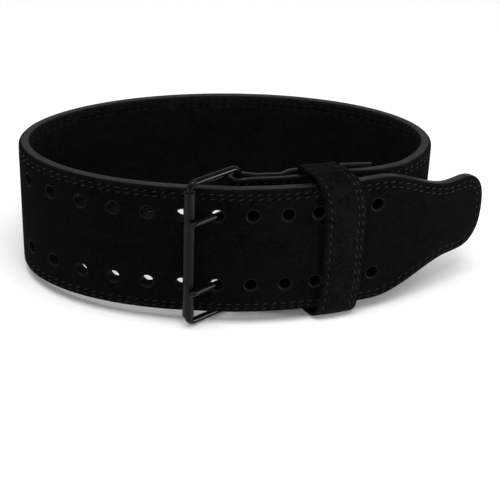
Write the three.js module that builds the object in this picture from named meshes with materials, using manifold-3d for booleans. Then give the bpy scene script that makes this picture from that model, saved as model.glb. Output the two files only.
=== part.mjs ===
// A sewn leather weightlifting belt with a double prong roller buckle, fastened to the oval loop
// in which it lies. Millimetres, +Z up, X along the loop's long axis, buckle and free end at -Y.
import * as THREE from 'three';
import { mergeVertices } from 'three/addons/utils/BufferGeometryUtils.js';
import Module from 'manifold-3d';

const wasm = await Module();
wasm.setup();

// The gap that touching pieces keep
const CLEARANCE = 0.3;

// The strap, and the loop that it forms, measured outside
const STRAP_WIDTH = 101.6;
const STRAP_THICKNESS = 10;
const STRAP_EDGE_RADIUS = 3;
const LOOP_LENGTH = 311;
const LOOP_DEPTH = 170;
const STRAP_STEP = 10;
const EDGE_FULLNESS = 0.85;
const END_FULLNESS = 0.7;
const JOIN_SWEEP_STEPS = 180;

// The free end leaves the loop in front on an arc that is flatter than the loop's own
const TAIL_FLATTENING = 1.01;
const TAIL_FOOT = 10;
const TAIL_DROP = 1.5;
const TAIL_BLEND = 40;

// The tongue at the tip of the free end, with its distances from the tip
const TONGUE_WIDTH = 62;
const TONGUE_TIP_LENGTH = 27;
const TONGUE_TIP_POWER = 2.4;
const TONGUE_TIP_FLAT = 9;
const TONGUE_NECK = 36;
const TONGUE_SHOULDER = 104;
const TIP_SECTIONS = [0.6, 0.38, 0.2, 0.09, 0.03, 0];

// Two rows of prong holes with pressed rims, counted from the tongue, where the first ones stand closer
const HOLE_COLUMNS = 13;
const HOLE_PITCH = 24.8;
const CLOSE_GAPS = 3;
const CLOSE_PITCH = 22.2;
const HOLE_ROW_SPACING = 56.8;
const HOLE_ROW_RISE = 1.7;
const HOLE_DIAMETER = 8.6;
const HOLE_RIM_DIAMETER = 11.6;
const HOLE_RIM_DEPTH = 1.6;
const HOLE_SIDES = 12;
const HOLE_OVERRUN = 1;
const FIRST_HOLE = 106.6;
const BUCKLED_HOLE = 6;

// The skived buckle end: folded round the rear bar, with two plies riveted on each other
const FOLD_PLY = 5.6;
const BODY_PLY = 7;
const FLAP_PLY = 6.2;
const PLY_GAP = 0.5;
const FOLD_GAP = 5.5;
const FOLD_MOUTH = 75;
const FOLD_SPAN = 210;
const FOLD_STEPS = 7;
const LAP_GAP = 7.3;
const LAP_START = 14;
const LAP_TURN = 4;
const JOIN_GAP = 1.7;
const JOIN_RUN = 20;
const FLAP_END_RADIUS = 2.6;
const SLOT_REACH = 12;
const SLOT_PLAY = 1.2;

// The buckle: a bent rod frame, a roller on its front bar and two prongs on its rear bar
const ROD_DIAMETER = 5;
const FRAME_PLAY = 3.7;
const FRAME_BEND_RADIUS = 5.5;
const BAR_SPACING = 34.5;
const REAR_BAR_RUN = -6.6;
const ROLLER_DIAMETER = 8.4;
const ROLLER_OVERHANG = 0.2;
const ROLLER_BEVEL = 0.4;
const PRONG_DIAMETER = 4.6;
const PRONG_TIP_DIAMETER = 3.4;
const PRONG_OVERHANG = 3.5;
const PRONG_HOOK = 0.7;
const PRONG_NOSE_LENGTH = 0.7;
const PRONG_NOSE_DIAMETER = 2;
const PRONG_EYE_TURN = 265;
const ROD_SIDES = 10;
const ROLLER_SIDES = 16;

// The keeper, a sewn leather ring through the slot between the two plies
const KEEPER_WIDTH = 30;
const KEEPER_WALL = 3;
const KEEPER_RISE = 5.5;
const KEEPER_CORNER_RADIUS = 10;
const KEEPER_FROM_BAR = 77.2;
const KEEPER_SKEW = 8;
const KEEPER_LEAN = { above: 9, below: 4 };
const KEEPER_LEAN_FROM = 20;
const KEEPER_STEP = 16;
const KEEPER_FACETS = [-1, -1 / 3, 1 / 3, 1];

// Domed rivets in two columns, one on each side of the keeper
const RIVET_CAP_DIAMETER = 15;
const RIVET_CAP_HEIGHT = 2.8;
const RIVET_CAP_LIP = 0.8;
const RIVET_DOME_RINGS = [0.8, 0.4];
const RIVET_SHANK_DIAMETER = 4;
const RIVET_BORE_OVERRUN = 2;
const RIVET_BACK_DIAMETER = 10;
const RIVET_BACK_FACE = 8;
const RIVET_BACK_HEIGHT = 1.2;
const RIVET_ROW_SPACING = 34;
const RIVET_FROM_BAR = 26;
const RIVET_EDGE = 13;
const RIVET_SIDES = 12;

// Colours and surfaces
const LEATHER = new THREE.MeshStandardMaterial({ color: 0x141414, roughness: 0.95, metalness: 0 });
const KEEPER_LEATHER = new THREE.MeshStandardMaterial({ color: 0x181818, roughness: 0.95, metalness: 0 });
const BLACK_STEEL = new THREE.MeshStandardMaterial({ color: 0x2c2c2e, roughness: 0.35, metalness: 0.9 });
const ROLLER_STEEL = new THREE.MeshStandardMaterial({ color: 0x262628, roughness: 0.4, metalness: 0.9 });
const PRONG_STEEL = new THREE.MeshStandardMaterial({ color: 0x303033, roughness: 0.35, metalness: 0.9 });
const NICKEL = new THREE.MeshStandardMaterial({ color: 0xb9bcc0, roughness: 0.25, metalness: 1 });

const HALF_WIDTH = STRAP_WIDTH / 2;
const HALF_STRAP = STRAP_THICKNESS / 2;
const ROD_RADIUS = ROD_DIAMETER / 2;
const PRONG_RADIUS = PRONG_DIAMETER / 2;

// The four corners of a section or a frame: their sides, and the angle at which each one's bend starts
const CORNERS = [[1, 1, 0], [-1, 1, 90], [-1, -1, 180], [1, -1, 270]];

// A smooth 0 to 1 between two places
function rise(place, from, to) {
  return THREE.MathUtils.smoothstep(place, from, to);
}

// The loop's outline at an eccentric angle, at a depth inward from its outer face
function onLoop(angle, depth) {
  const length = LOOP_LENGTH / 2;
  const width = LOOP_DEPTH / 2;
  const face = new THREE.Vector2(length * Math.cos(angle), width * Math.sin(angle));
  const inward = new THREE.Vector2(-width * Math.cos(angle), -length * Math.sin(angle)).normalize();
  return face.addScaledVector(inward, depth);
}

// The free end's arc: a run along its outer face from the arc's foot, and a depth inward from that face
const TAIL_RADIUS = TAIL_FLATTENING * LOOP_LENGTH ** 2 / (2 * LOOP_DEPTH);
const TAIL_CENTRE = new THREE.Vector2(TAIL_FOOT, TAIL_RADIUS - LOOP_DEPTH / 2 - TAIL_DROP);

function onTail(run, depth) {
  const angle = run / TAIL_RADIUS;
  const reach = TAIL_RADIUS - depth;
  return new THREE.Vector2(
    TAIL_CENTRE.x + reach * Math.sin(angle),
    TAIL_CENTRE.y - reach * Math.cos(angle),
  );
}

function tailPlaceOf(point) {
  const arm = point.clone().sub(TAIL_CENTRE);
  return { run: TAIL_RADIUS * Math.atan2(arm.x, -arm.y), depth: TAIL_RADIUS - arm.length() };
}

// The buckle's two bars: the roller lies on the free end, the rear bar in the fold behind it
const ROLLER_RADIUS = ROLLER_DIAMETER / 2;
const FOLD_RADIUS = ROD_RADIUS + CLEARANCE + FOLD_PLY / 2;
const REAR_BAR_DEPTH = STRAP_THICKNESS + FOLD_GAP + FOLD_PLY / 2 + FOLD_RADIUS;
const rearBar = onTail(REAR_BAR_RUN, REAR_BAR_DEPTH);
const frontBar = onTail(REAR_BAR_RUN - BAR_SPACING, -ROLLER_RADIUS - CLEARANCE);

// The prongs' straight line: a tangent from the eye round the rear bar to the roller's outer side
const EYE_RADIUS = ROD_RADIUS + CLEARANCE + PRONG_RADIUS;
const ROLLER_REST = ROLLER_RADIUS + CLEARANCE + PRONG_RADIUS;
const barLine = frontBar.clone().sub(rearBar);
const prongTurn = barLine.angle() + Math.asin((ROLLER_REST - EYE_RADIUS) / barLine.length());
const prongLine = new THREE.Vector2(Math.cos(prongTurn), Math.sin(prongTurn));
const prongSide = new THREE.Vector2(-prongLine.y, prongLine.x);
const prongStart = rearBar.clone().addScaledVector(prongSide, EYE_RADIUS);
const prongRest = frontBar.clone().addScaledVector(prongSide, ROLLER_REST);

// The run at which the prongs cross the middle of the free end, where the buckled holes are
function prongCrossing() {
  const arm = prongStart.clone().sub(TAIL_CENTRE);
  const along = arm.dot(prongLine);
  const reach = TAIL_RADIUS - HALF_STRAP;
  const distance = -along + Math.sqrt(along ** 2 - arm.lengthSq() + reach ** 2);
  return tailPlaceOf(prongStart.clone().addScaledVector(prongLine, distance)).run;
}

// A hole column's distance from the tip
function holeDistance(column) {
  const close = Math.min(column - 1, CLOSE_GAPS);
  return FIRST_HOLE + close * CLOSE_PITCH + (column - 1 - close) * HOLE_PITCH;
}

const TIP_DISTANCE = holeDistance(BUCKLED_HOLE);
const TIP_RUN = prongCrossing() + TIP_DISTANCE * TAIL_RADIUS / (TAIL_RADIUS - HALF_STRAP);

// The keeper's run at a depth and a height from the middle: its back, top and bottom lean to the buckle
const KEEPER_SLOT = KEEPER_WALL + 2 * CLEARANCE;
const LAP_DEPTH = STRAP_THICKNESS + LAP_GAP;
const KEEPER_BACK = LAP_DEPTH + BODY_PLY + CLEARANCE;
const KEEPER_RUN = REAR_BAR_RUN + KEEPER_FROM_BAR;
const KEEPER_HIGH = HALF_WIDTH + KEEPER_RISE + KEEPER_WALL;

function keeperRun(depth, height) {
  const lean = height > 0 ? KEEPER_LEAN.above : KEEPER_LEAN.below;
  const share = Math.max(Math.abs(height) - KEEPER_LEAN_FROM, 0) / (KEEPER_HIGH - KEEPER_LEAN_FROM);
  return KEEPER_RUN - KEEPER_SKEW * depth / KEEPER_BACK - lean * share ** 2;
}

const KEEPER_FROM = keeperRun(KEEPER_BACK, HALF_WIDTH) - KEEPER_WIDTH / 2;
const KEEPER_TO = keeperRun(KEEPER_BACK, 0) + KEEPER_WIDTH / 2;
const RIVET_RUNS = [
  REAR_BAR_RUN + RIVET_FROM_BAR,
  KEEPER_TO + LAP_TURN * 1.5 + RIVET_CAP_DIAMETER / 2,
];
const LAP_LEAVES = KEEPER_TO + LAP_TURN;
const FLAP_END = RIVET_RUNS[1] + RIVET_EDGE;

// The lap's plies at a run: the body's outer face and thickness, the slot behind it, and the flap.
// They lie flat under each rivet, open for the keeper, and come out to the loop past it.
function lapAt(run) {
  const opened = rise(run, RIVET_RUNS[0] + RIVET_CAP_DIAMETER / 2, KEEPER_FROM - LAP_TURN);
  const joined = THREE.MathUtils.clamp((run - LAP_LEAVES) / (FLAP_END - LAP_LEAVES), 0, 1);
  const face = THREE.MathUtils.lerp(LAP_DEPTH, STRAP_THICKNESS + JOIN_GAP, joined);
  const skived = THREE.MathUtils.lerp(FOLD_PLY, BODY_PLY, opened);
  const body = THREE.MathUtils.lerp(skived, STRAP_THICKNESS, joined);
  const slot = THREE.MathUtils.lerp(PLY_GAP, KEEPER_SLOT, opened * (1 - joined));
  const flap = THREE.MathUtils.lerp(FOLD_PLY, FLAP_PLY, opened);
  return { face, body, slot, flap };
}

// A guide point of the strap's middle line, with the strap's thickness there as its third number
function guide(point, thickness) {
  return new THREE.Vector3(point.x, point.y, thickness);
}

function bodyGuide(run) {
  const lap = lapAt(run);
  return guide(onTail(run, lap.face + lap.body / 2), lap.body);
}

function flapGuide(run) {
  const lap = lapAt(run);
  return guide(onTail(run, lap.face + lap.body + lap.slot + lap.flap / 2), lap.flap);
}

// Evenly spaced numbers, both ends included
function spaced(from, to, steps) {
  return Array.from({ length: steps + 1 }, (_, i) => from + (to - from) * i / steps);
}

// The eccentric angle at which the buckle end has come out to the loop
function joinAngle() {
  const sweep = spaced(0, -Math.PI / 2, JOIN_SWEEP_STEPS);
  const inLap = sweep.findIndex((angle) => {
    const place = tailPlaceOf(onLoop(angle, 0));
    return place.depth < STRAP_THICKNESS + JOIN_GAP || place.run < FLAP_END + JOIN_RUN;
  });
  return sweep[inLap - 1];
}

// The strap's middle line from the flap's cut end, round the rear bar and the loop, to the tongue's tip
function strapGuides() {
  const flap = spaced(FLAP_END, REAR_BAR_RUN + LAP_START, 14).map(flapGuide);
  const lapTurn = REAR_BAR_RUN / TAIL_RADIUS;
  const fold = spaced(FOLD_MOUTH, FOLD_MOUTH + FOLD_SPAN, FOLD_STEPS).map((degrees) => {
    const turn = THREE.MathUtils.degToRad(degrees) + lapTurn;
    const offset = new THREE.Vector2(Math.cos(turn), Math.sin(turn)).multiplyScalar(FOLD_RADIUS);
    return guide(rearBar.clone().add(offset), FOLD_PLY);
  });
  const body = spaced(REAR_BAR_RUN + LAP_START, FLAP_END + LAP_TURN, 15).map(bodyGuide);
  const front = Math.PI + Math.acos(TAIL_BLEND / (LOOP_LENGTH / 2));
  const loop = spaced(joinAngle(), front, 62).map((angle) => guide(onLoop(angle, HALF_STRAP), STRAP_THICKNESS));
  const free = spaced(-TAIL_FOOT, TIP_RUN - TONGUE_TIP_LENGTH, 20);
  const tip = TIP_SECTIONS.map((share) => TIP_RUN - share * TONGUE_TIP_LENGTH);
  const tail = [...free, ...tip].map((run) => guide(onTail(run, HALF_STRAP), STRAP_THICKNESS));
  return [...flap, ...fold, ...body, ...loop, ...tail];
}

// Stations along the strap: the middle point, the outward direction, the thickness and the run length
function strapStations() {
  const guides = strapGuides();
  const curve = new THREE.CatmullRomCurve3(guides, false, 'centripetal');
  const stations = [];
  for (let i = 0; i < guides.length - 1; i += 1) {
    const steps = Math.ceil(guides[i].distanceTo(guides[i + 1]) / STRAP_STEP);
    for (let j = 0; j < steps; j += 1) {
      stations.push(curve.getPoint((i + j / steps) / (guides.length - 1)));
    }
  }
  stations.push(guides.at(-1));
  let length = 0;
  return stations.map((station, i) => {
    const before = stations[Math.max(i - 1, 0)];
    const after = stations[Math.min(i + 1, stations.length - 1)];
    const ahead = new THREE.Vector2(after.x - before.x, after.y - before.y).normalize();
    length += Math.hypot(station.x - before.x, station.y - before.y);
    return {
      point: new THREE.Vector2(station.x, station.y),
      ahead,
      outward: new THREE.Vector2(ahead.y, -ahead.x),
      thickness: station.z,
      length,
    };
  });
}

const stations = strapStations();
const STRAP_LENGTH = stations.at(-1).length;

// Half the strap's width at a distance from the tip: round tip, tongue, and shoulder up to full width
function halfWidthAt(fromTip) {
  const full = rise(fromTip, TONGUE_NECK, TONGUE_SHOULDER);
  const straight = THREE.MathUtils.lerp(TONGUE_WIDTH / 2, HALF_WIDTH, full);
  const inTip = Math.max(1 - fromTip / TONGUE_TIP_LENGTH, 0);
  const round = (1 - inTip ** TONGUE_TIP_POWER) ** (1 / TONGUE_TIP_POWER);
  return Math.max(straight * round, TONGUE_TIP_FLAT / 2);
}

// What a rounded end takes off the half thickness at a distance from that end
function endRounding(distance, radius) {
  const inRound = Math.max(radius - distance, 0);
  return radius - Math.sqrt(radius ** 2 - inRound ** 2);
}

// The strap's section: a rectangle with rounded long edges, three points on each corner
function strapRing(station) {
  const fromTip = STRAP_LENGTH - station.length;
  const tipCut = endRounding(fromTip, STRAP_EDGE_RADIUS);
  const flapCut = endRounding(station.length, FLAP_END_RADIUS);
  const half = station.thickness / 2 - Math.max(tipCut, flapCut) * END_FULLNESS;
  const radius = Math.min(STRAP_EDGE_RADIUS, half * EDGE_FULLNESS);
  const width = halfWidthAt(fromTip);
  return CORNERS.flatMap(([across, up, start]) => [0, 45, 90].map((turn) => {
    const angle = THREE.MathUtils.degToRad(start + turn);
    const out = across * (half - radius) + radius * Math.cos(angle);
    const high = up * (width - radius) + radius * Math.sin(angle);
    const place = station.point.clone().addScaledVector(station.outward, out);
    return new THREE.Vector3(place.x, place.y, HALF_WIDTH + high);
  }));
}

// A closed skin over rings of equally many points: the rings meet in a circle, or both ends are capped
function loft(rings, isRing) {
  const count = rings[0].length;
  const index = [];
  const last = isRing ? rings.length : rings.length - 1;
  for (let i = 0; i < last; i += 1) {
    const here = i * count;
    const next = ((i + 1) % rings.length) * count;
    for (let j = 0; j < count; j += 1) {
      const k = (j + 1) % count;
      index.push(here + j, here + k, next + k, here + j, next + k, next + j);
    }
  }
  if (!isRing) {
    const end = (rings.length - 1) * count;
    for (let j = 1; j < count - 1; j += 1) {
      index.push(0, j + 1, j, end, end + j, end + j + 1);
    }
  }
  const geometry = new THREE.BufferGeometry();
  geometry.setAttribute('position', new THREE.Float32BufferAttribute(rings.flat().flatMap((p) => p.toArray()), 3));
  geometry.setIndex(index);
  return facingOut(geometry);
}

// Turns all faces round where the body's signed volume is negative
function facingOut(geometry) {
  const position = geometry.attributes.position;
  const index = geometry.index.array;
  const corner = (i) => new THREE.Vector3().fromBufferAttribute(position, index[i]);
  let volume = 0;
  for (let i = 0; i < index.length; i += 3) {
    volume += corner(i).dot(corner(i + 1).cross(corner(i + 2)));
  }
  if (volume < 0) {
    geometry.setIndex(Array.from(index).reverse());
  }
  geometry.computeVertexNormals();
  return geometry;
}

// Closed geometry to a solid for cutting, and back
function toSolid(geometry) {
  const bare = geometry.clone();
  bare.deleteAttribute('normal');
  bare.deleteAttribute('uv');
  const merged = mergeVertices(bare, 1e-4);
  return new wasm.Manifold(new wasm.Mesh({
    numProp: 3,
    vertProperties: new Float32Array(merged.attributes.position.array),
    triVerts: new Uint32Array(merged.index.array),
  }));
}

function toGeometry(solid) {
  const mesh = solid.getMesh();
  const geometry = new THREE.BufferGeometry();
  geometry.setAttribute('position', new THREE.BufferAttribute(mesh.vertProperties, 3));
  geometry.setIndex(new THREE.BufferAttribute(mesh.triVerts, 1));
  geometry.computeVertexNormals();
  return geometry;
}

// A body turned about its own axis, with that axis along an outward direction at a place on the strap
function alongNormal(geometry, point, outward, height) {
  const turn = new THREE.Quaternion().setFromUnitVectors(
    new THREE.Vector3(0, 1, 0),
    new THREE.Vector3(outward.x, outward.y, 0),
  );
  return geometry.applyQuaternion(turn).translate(point.x, point.y, height);
}

// The strap's frame at a length along its middle line
function stationAt(length) {
  const next = stations.findIndex((station) => station.length >= length);
  const a = stations[next - 1];
  const b = stations[next];
  const share = (length - a.length) / (b.length - a.length);
  return {
    point: a.point.clone().lerp(b.point, share),
    outward: a.outward.clone().lerp(b.outward, share).normalize(),
    thickness: THREE.MathUtils.lerp(a.thickness, b.thickness, share),
  };
}

// Cutter for one prong hole: a bore that flares to a pressed rim at both faces
function holeCutter(station, height) {
  const flare = (HOLE_RIM_DIAMETER - HOLE_DIAMETER) / 2;
  const bore = HOLE_DIAMETER / 2;
  const face = HALF_STRAP + HOLE_OVERRUN;
  const mouth = bore + flare * (HOLE_RIM_DEPTH + HOLE_OVERRUN) / HOLE_RIM_DEPTH;
  const throat = HALF_STRAP - HOLE_RIM_DEPTH;
  const profile = [[0, -face], [mouth, -face], [bore, -throat], [bore, throat], [mouth, face], [0, face]];
  const outline = profile.map(([x, y]) => new THREE.Vector2(x, y));
  return alongNormal(new THREE.LatheGeometry(outline, HOLE_SIDES), station.point, station.outward, height);
}

function rowHeights(spacing) {
  return [HALF_WIDTH + spacing / 2, HALF_WIDTH - spacing / 2];
}

function holeCutters() {
  const cutters = [];
  for (let column = 1; column <= HOLE_COLUMNS; column += 1) {
    const station = stationAt(STRAP_LENGTH - holeDistance(column));
    for (const height of rowHeights(HOLE_ROW_SPACING)) {
      cutters.push(holeCutter(station, height + HOLE_ROW_RISE));
    }
  }
  return cutters;
}

// Cutter for one prong slot: it opens the fold and both plies behind the rear bar
function slotCutter(height) {
  const start = REAR_BAR_RUN - FOLD_RADIUS - FOLD_PLY;
  const end = REAR_BAR_RUN + SLOT_REACH;
  const depth = 2 * (FOLD_RADIUS + FOLD_PLY);
  const box = new THREE.BoxGeometry(end - start, depth, PRONG_DIAMETER + 2 * SLOT_PLAY);
  const middle = onTail((start + end) / 2, REAR_BAR_DEPTH);
  return box.rotateZ(REAR_BAR_RUN / TAIL_RADIUS).translate(middle.x, middle.y, height);
}

// A round rod along flat points at one height, with a radius at each point
function rod(points, radii, height) {
  const rings = points.map((point, i) => {
    const before = points[Math.max(i - 1, 0)];
    const after = points[Math.min(i + 1, points.length - 1)];
    const ahead = after.clone().sub(before).normalize();
    return spaced(0, 360, ROD_SIDES).slice(0, -1).map((degrees) => {
      const angle = THREE.MathUtils.degToRad(degrees);
      const out = radii[i] * Math.cos(angle);
      return new THREE.Vector3(
        point.x + ahead.y * out,
        point.y - ahead.x * out,
        height + radii[i] * Math.sin(angle),
      );
    });
  });
  return loft(rings, false);
}

// One prong: an open eye round the rear bar, a straight shank and a tip hooked over the roller
function prongGeometry(height, spare) {
  const start = prongSide.angle();
  const eye = spaced(PRONG_EYE_TURN, 0, 12).map((degrees) => {
    const angle = start + THREE.MathUtils.degToRad(degrees);
    return new THREE.Vector2(Math.cos(angle), Math.sin(angle)).multiplyScalar(EYE_RADIUS).add(rearBar);
  });
  const hook = prongRest.clone().addScaledVector(prongLine, PRONG_OVERHANG);
  hook.addScaledVector(prongSide, -PRONG_HOOK);
  const nose = hook.clone().addScaledVector(prongLine, PRONG_NOSE_LENGTH);
  const points = [...eye, prongRest, hook, nose];
  const ends = [PRONG_RADIUS, PRONG_TIP_DIAMETER / 2, PRONG_NOSE_DIAMETER / 2];
  const radii = [...eye.map(() => PRONG_RADIUS), ...ends];
  return rod(points, radii.map((radius) => radius + spare), height);
}

// Rivet axes: on the body ply, in three rows at each run
function rivetPlaces() {
  const places = [];
  for (const [column, run] of RIVET_RUNS.entries()) {
    const lap = lapAt(run);
    const face = onTail(run, lap.face);
    const ahead = onTail(run + 1, lapAt(run + 1).face).sub(onTail(run - 1, lapAt(run - 1).face)).normalize();
    const outward = new THREE.Vector2(ahead.y, -ahead.x);
    const grip = lap.body + lap.slot + lap.flap;
    for (const [row, name] of [[1, 'upper'], [0, 'middle'], [-1, 'lower']]) {
      const height = HALF_WIDTH + row * RIVET_ROW_SPACING;
      places.push({ name: `rivet_${column + 1}_${name}`, face, outward, grip, height });
    }
  }
  return places;
}

// One rivet from its domed cap through the plies to the plain back cap; Y is outward, 0 at the leather
function rivetGeometry(grip) {
  const cap = RIVET_CAP_DIAMETER / 2;
  const shank = RIVET_SHANK_DIAMETER / 2;
  const back = RIVET_BACK_DIAMETER / 2;
  const inner = -grip - CLEARANCE;
  const dome = RIVET_DOME_RINGS.map((share) => {
    const height = RIVET_CAP_LIP + (RIVET_CAP_HEIGHT - RIVET_CAP_LIP) * Math.sqrt(1 - share ** 2);
    return [cap * share, CLEARANCE + height];
  });
  const profile = [
    [0, inner - RIVET_BACK_HEIGHT],
    [RIVET_BACK_FACE / 2, inner - RIVET_BACK_HEIGHT],
    [back, inner],
    [shank, inner],
    [shank, CLEARANCE],
    [cap, CLEARANCE],
    [cap, CLEARANCE + RIVET_CAP_LIP],
    ...dome,
    [0, CLEARANCE + RIVET_CAP_HEIGHT],
  ];
  return new THREE.LatheGeometry(profile.map(([x, y]) => new THREE.Vector2(x, y)), RIVET_SIDES);
}

function rivetBore(place) {
  const radius = RIVET_SHANK_DIAMETER / 2 + CLEARANCE;
  const reach = place.grip + 2 * RIVET_BORE_OVERRUN;
  const bore = new THREE.CylinderGeometry(radius, radius, reach, RIVET_SIDES);
  const middle = place.face.clone().addScaledVector(place.outward, -place.grip / 2);
  return alongNormal(bore, middle, place.outward, place.height);
}

function strapGeometry() {
  const prongHeights = rowHeights(HOLE_ROW_SPACING);
  const cutters = [
    ...holeCutters(),
    ...prongHeights.map(slotCutter),
    ...prongHeights.map((height) => prongGeometry(height, CLEARANCE)),
    ...rivetPlaces().map(rivetBore),
  ];
  let strap = toSolid(loft(stations.map(strapRing), false));
  for (const cutter of cutters) {
    strap = strap.subtract(toSolid(cutter));
  }
  return toGeometry(strap);
}

// The bent rod frame: an upright rectangle with round corners, through both bars
function frameGeometry() {
  const span = barLine.length() / 2;
  const high = HALF_WIDTH + FRAME_PLAY + ROD_RADIUS;
  const direction = barLine.clone().normalize();
  const middle = rearBar.clone().add(frontBar).multiplyScalar(0.5);
  const side = new THREE.Vector3(direction.y, -direction.x, 0);
  const rings = CORNERS.flatMap(([across, up, start]) => spaced(0, 90, 5).map((degrees) => {
    const angle = THREE.MathUtils.degToRad(start + degrees);
    const out = new THREE.Vector3(
      direction.x * Math.cos(angle),
      direction.y * Math.cos(angle),
      Math.sin(angle),
    );
    const along = across * (span - FRAME_BEND_RADIUS);
    const centre = new THREE.Vector3(
      middle.x + direction.x * along,
      middle.y + direction.y * along,
      HALF_WIDTH + up * (high - FRAME_BEND_RADIUS),
    ).addScaledVector(out, FRAME_BEND_RADIUS);
    return spaced(0, 360, ROD_SIDES).slice(0, -1).map((turn) => {
      const roll = THREE.MathUtils.degToRad(turn);
      return centre.clone()
        .addScaledVector(out, ROD_RADIUS * Math.cos(roll))
        .addScaledVector(side, ROD_RADIUS * Math.sin(roll));
    });
  }));
  return loft(rings, true);
}

// The roller: a thin sleeve round the front bar
function rollerGeometry() {
  const bore = ROD_RADIUS + CLEARANCE;
  const half = HALF_WIDTH + ROLLER_OVERHANG;
  const rim = ROLLER_RADIUS - ROLLER_BEVEL;
  const profile = [
    [bore, -half],
    [rim, -half],
    [ROLLER_RADIUS, -half + ROLLER_BEVEL],
    [ROLLER_RADIUS, half - ROLLER_BEVEL],
    [rim, half],
    [bore, half],
    [bore, -half],
  ];
  const outline = profile.map(([x, y]) => new THREE.Vector2(x, y));
  const sleeve = new THREE.LatheGeometry(outline, ROLLER_SIDES).rotateX(Math.PI / 2);
  return sleeve.translate(frontBar.x, frontBar.y, HALF_WIDTH);
}

// The keeper's way round the strap, on its outer side: depth, height from the middle, inward direction
function keeperPath() {
  const front = -CLEARANCE - KEEPER_WALL;
  const back = KEEPER_BACK + KEEPER_WALL;
  const middle = (front + back) / 2;
  const deep = (back - front) / 2;
  const radius = KEEPER_CORNER_RADIUS;
  const corners = CORNERS.flatMap(([across, up, start]) => spaced(0, 90, 4).map((degrees) => {
    const angle = THREE.MathUtils.degToRad(start + degrees);
    return {
      depth: middle + across * (deep - radius) + radius * Math.cos(angle),
      high: up * (KEEPER_HIGH - radius) + radius * Math.sin(angle),
      inward: new THREE.Vector2(-Math.cos(angle), -Math.sin(angle)),
    };
  }));
  return corners.flatMap((here, i) => {
    const there = corners[(i + 1) % corners.length];
    const steps = Math.ceil(Math.hypot(there.depth - here.depth, there.high - here.high) / KEEPER_STEP);
    return spaced(0, 1, steps).slice(0, -1).map((share) => ({
      depth: THREE.MathUtils.lerp(here.depth, there.depth, share),
      high: THREE.MathUtils.lerp(here.high, there.high, share),
      inward: here.inward.clone().lerp(there.inward, share),
    }));
  });
}

// The keeper: a leather ring with round corners, its width laid along the free end's arc
function keeperGeometry() {
  const section = [[1, KEEPER_WALL], [-1, 0]];
  const rings = keeperPath().map((place) => section.flatMap(([side, wall]) => {
    const depth = place.depth + wall * place.inward.x;
    const high = place.high + wall * place.inward.y;
    return KEEPER_FACETS.map((share) => {
      const run = keeperRun(depth, high) + side * share * KEEPER_WIDTH / 2;
      const point = onTail(run, depth);
      return new THREE.Vector3(point.x, point.y, HALF_WIDTH + high);
    });
  }));
  return loft(rings, true);
}

function piece(name, geometry, material) {
  const mesh = new THREE.Mesh(geometry, material);
  mesh.name = name;
  return mesh;
}

const belt = new THREE.Group();
const [upperRow, lowerRow] = rowHeights(HOLE_ROW_SPACING);
belt.add(
  piece('strap', strapGeometry(), LEATHER),
  piece('buckle_frame', frameGeometry(), BLACK_STEEL),
  piece('buckle_roller', rollerGeometry(), ROLLER_STEEL),
  piece('prong_upper', prongGeometry(upperRow, 0), PRONG_STEEL),
  piece('prong_lower', prongGeometry(lowerRow, 0), PRONG_STEEL),
  piece('keeper', keeperGeometry(), KEEPER_LEATHER),
);
for (const place of rivetPlaces()) {
  const rivet = alongNormal(rivetGeometry(place.grip), place.face, place.outward, place.height);
  belt.add(piece(place.name, rivet, NICKEL));
}

// The belt lies on its lower edge behind, and on the buckle and keeper, which reach below it, in front
const backEdge = LOOP_DEPTH / 2 - STRAP_EDGE_RADIUS;
let leaning = 0;
for (const mesh of belt.children) {
  const position = mesh.geometry.attributes.position;
  for (let i = 0; i < position.count; i += 1) {
    leaning = Math.max(leaning, Math.atan2(-position.getZ(i), backEdge - position.getY(i)));
  }
}
belt.rotation.x = -leaning;

const object = new THREE.Group();
object.add(belt);
object.updateMatrixWorld(true);
const box = new THREE.Box3().setFromObject(object, true);
const boxCentre = box.getCenter(new THREE.Vector3());
belt.position.set(-boxCentre.x, -boxCentre.y, -box.min.z);

export default object;
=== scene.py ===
"""A buckled leather lifting belt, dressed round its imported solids.

It is laid out as an add-on: one operator makes each piece or group of like pieces, and one makes the
stage. Lengths are in metres. Shapes are worked out in the belt's own frame, in which its lower edge is
level, and lean() then lays them as the belt rests.
"""

import math

import bmesh
import bpy
import numpy as np
from bpy.props import FloatProperty, FloatVectorProperty, IntProperty, PointerProperty
from mathutils import Matrix, Vector


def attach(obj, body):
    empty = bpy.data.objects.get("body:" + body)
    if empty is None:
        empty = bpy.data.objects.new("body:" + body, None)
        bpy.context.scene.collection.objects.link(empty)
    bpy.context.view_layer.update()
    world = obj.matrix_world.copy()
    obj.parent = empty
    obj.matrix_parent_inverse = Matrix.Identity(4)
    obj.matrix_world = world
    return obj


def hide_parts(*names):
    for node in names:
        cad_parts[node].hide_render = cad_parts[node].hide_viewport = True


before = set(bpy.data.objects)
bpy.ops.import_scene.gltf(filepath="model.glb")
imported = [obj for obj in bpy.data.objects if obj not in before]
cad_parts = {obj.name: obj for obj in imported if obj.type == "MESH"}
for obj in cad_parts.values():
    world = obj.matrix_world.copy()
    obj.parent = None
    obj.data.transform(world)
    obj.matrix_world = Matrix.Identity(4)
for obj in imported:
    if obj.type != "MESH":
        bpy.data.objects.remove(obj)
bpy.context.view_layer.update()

bl_info = {
    "name": "Lifting Belt",
    "version": (1, 0, 0),
    "blender": (4, 5, 0),
    "location": "3D View > Sidebar > Belt",
    "description": "Makes a buckled leather lifting belt with its stitches, buckle, keeper and rivets",
    "category": "Object",
}

MM = 0.001

# How the belt rests: it leans on its buckle and keeper, which reach below its lower edge
LEAN = math.radians(3.43647)
REST = Vector((-20.8315 * MM, 2.1059 * MM, 4.9152 * MM))

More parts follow.
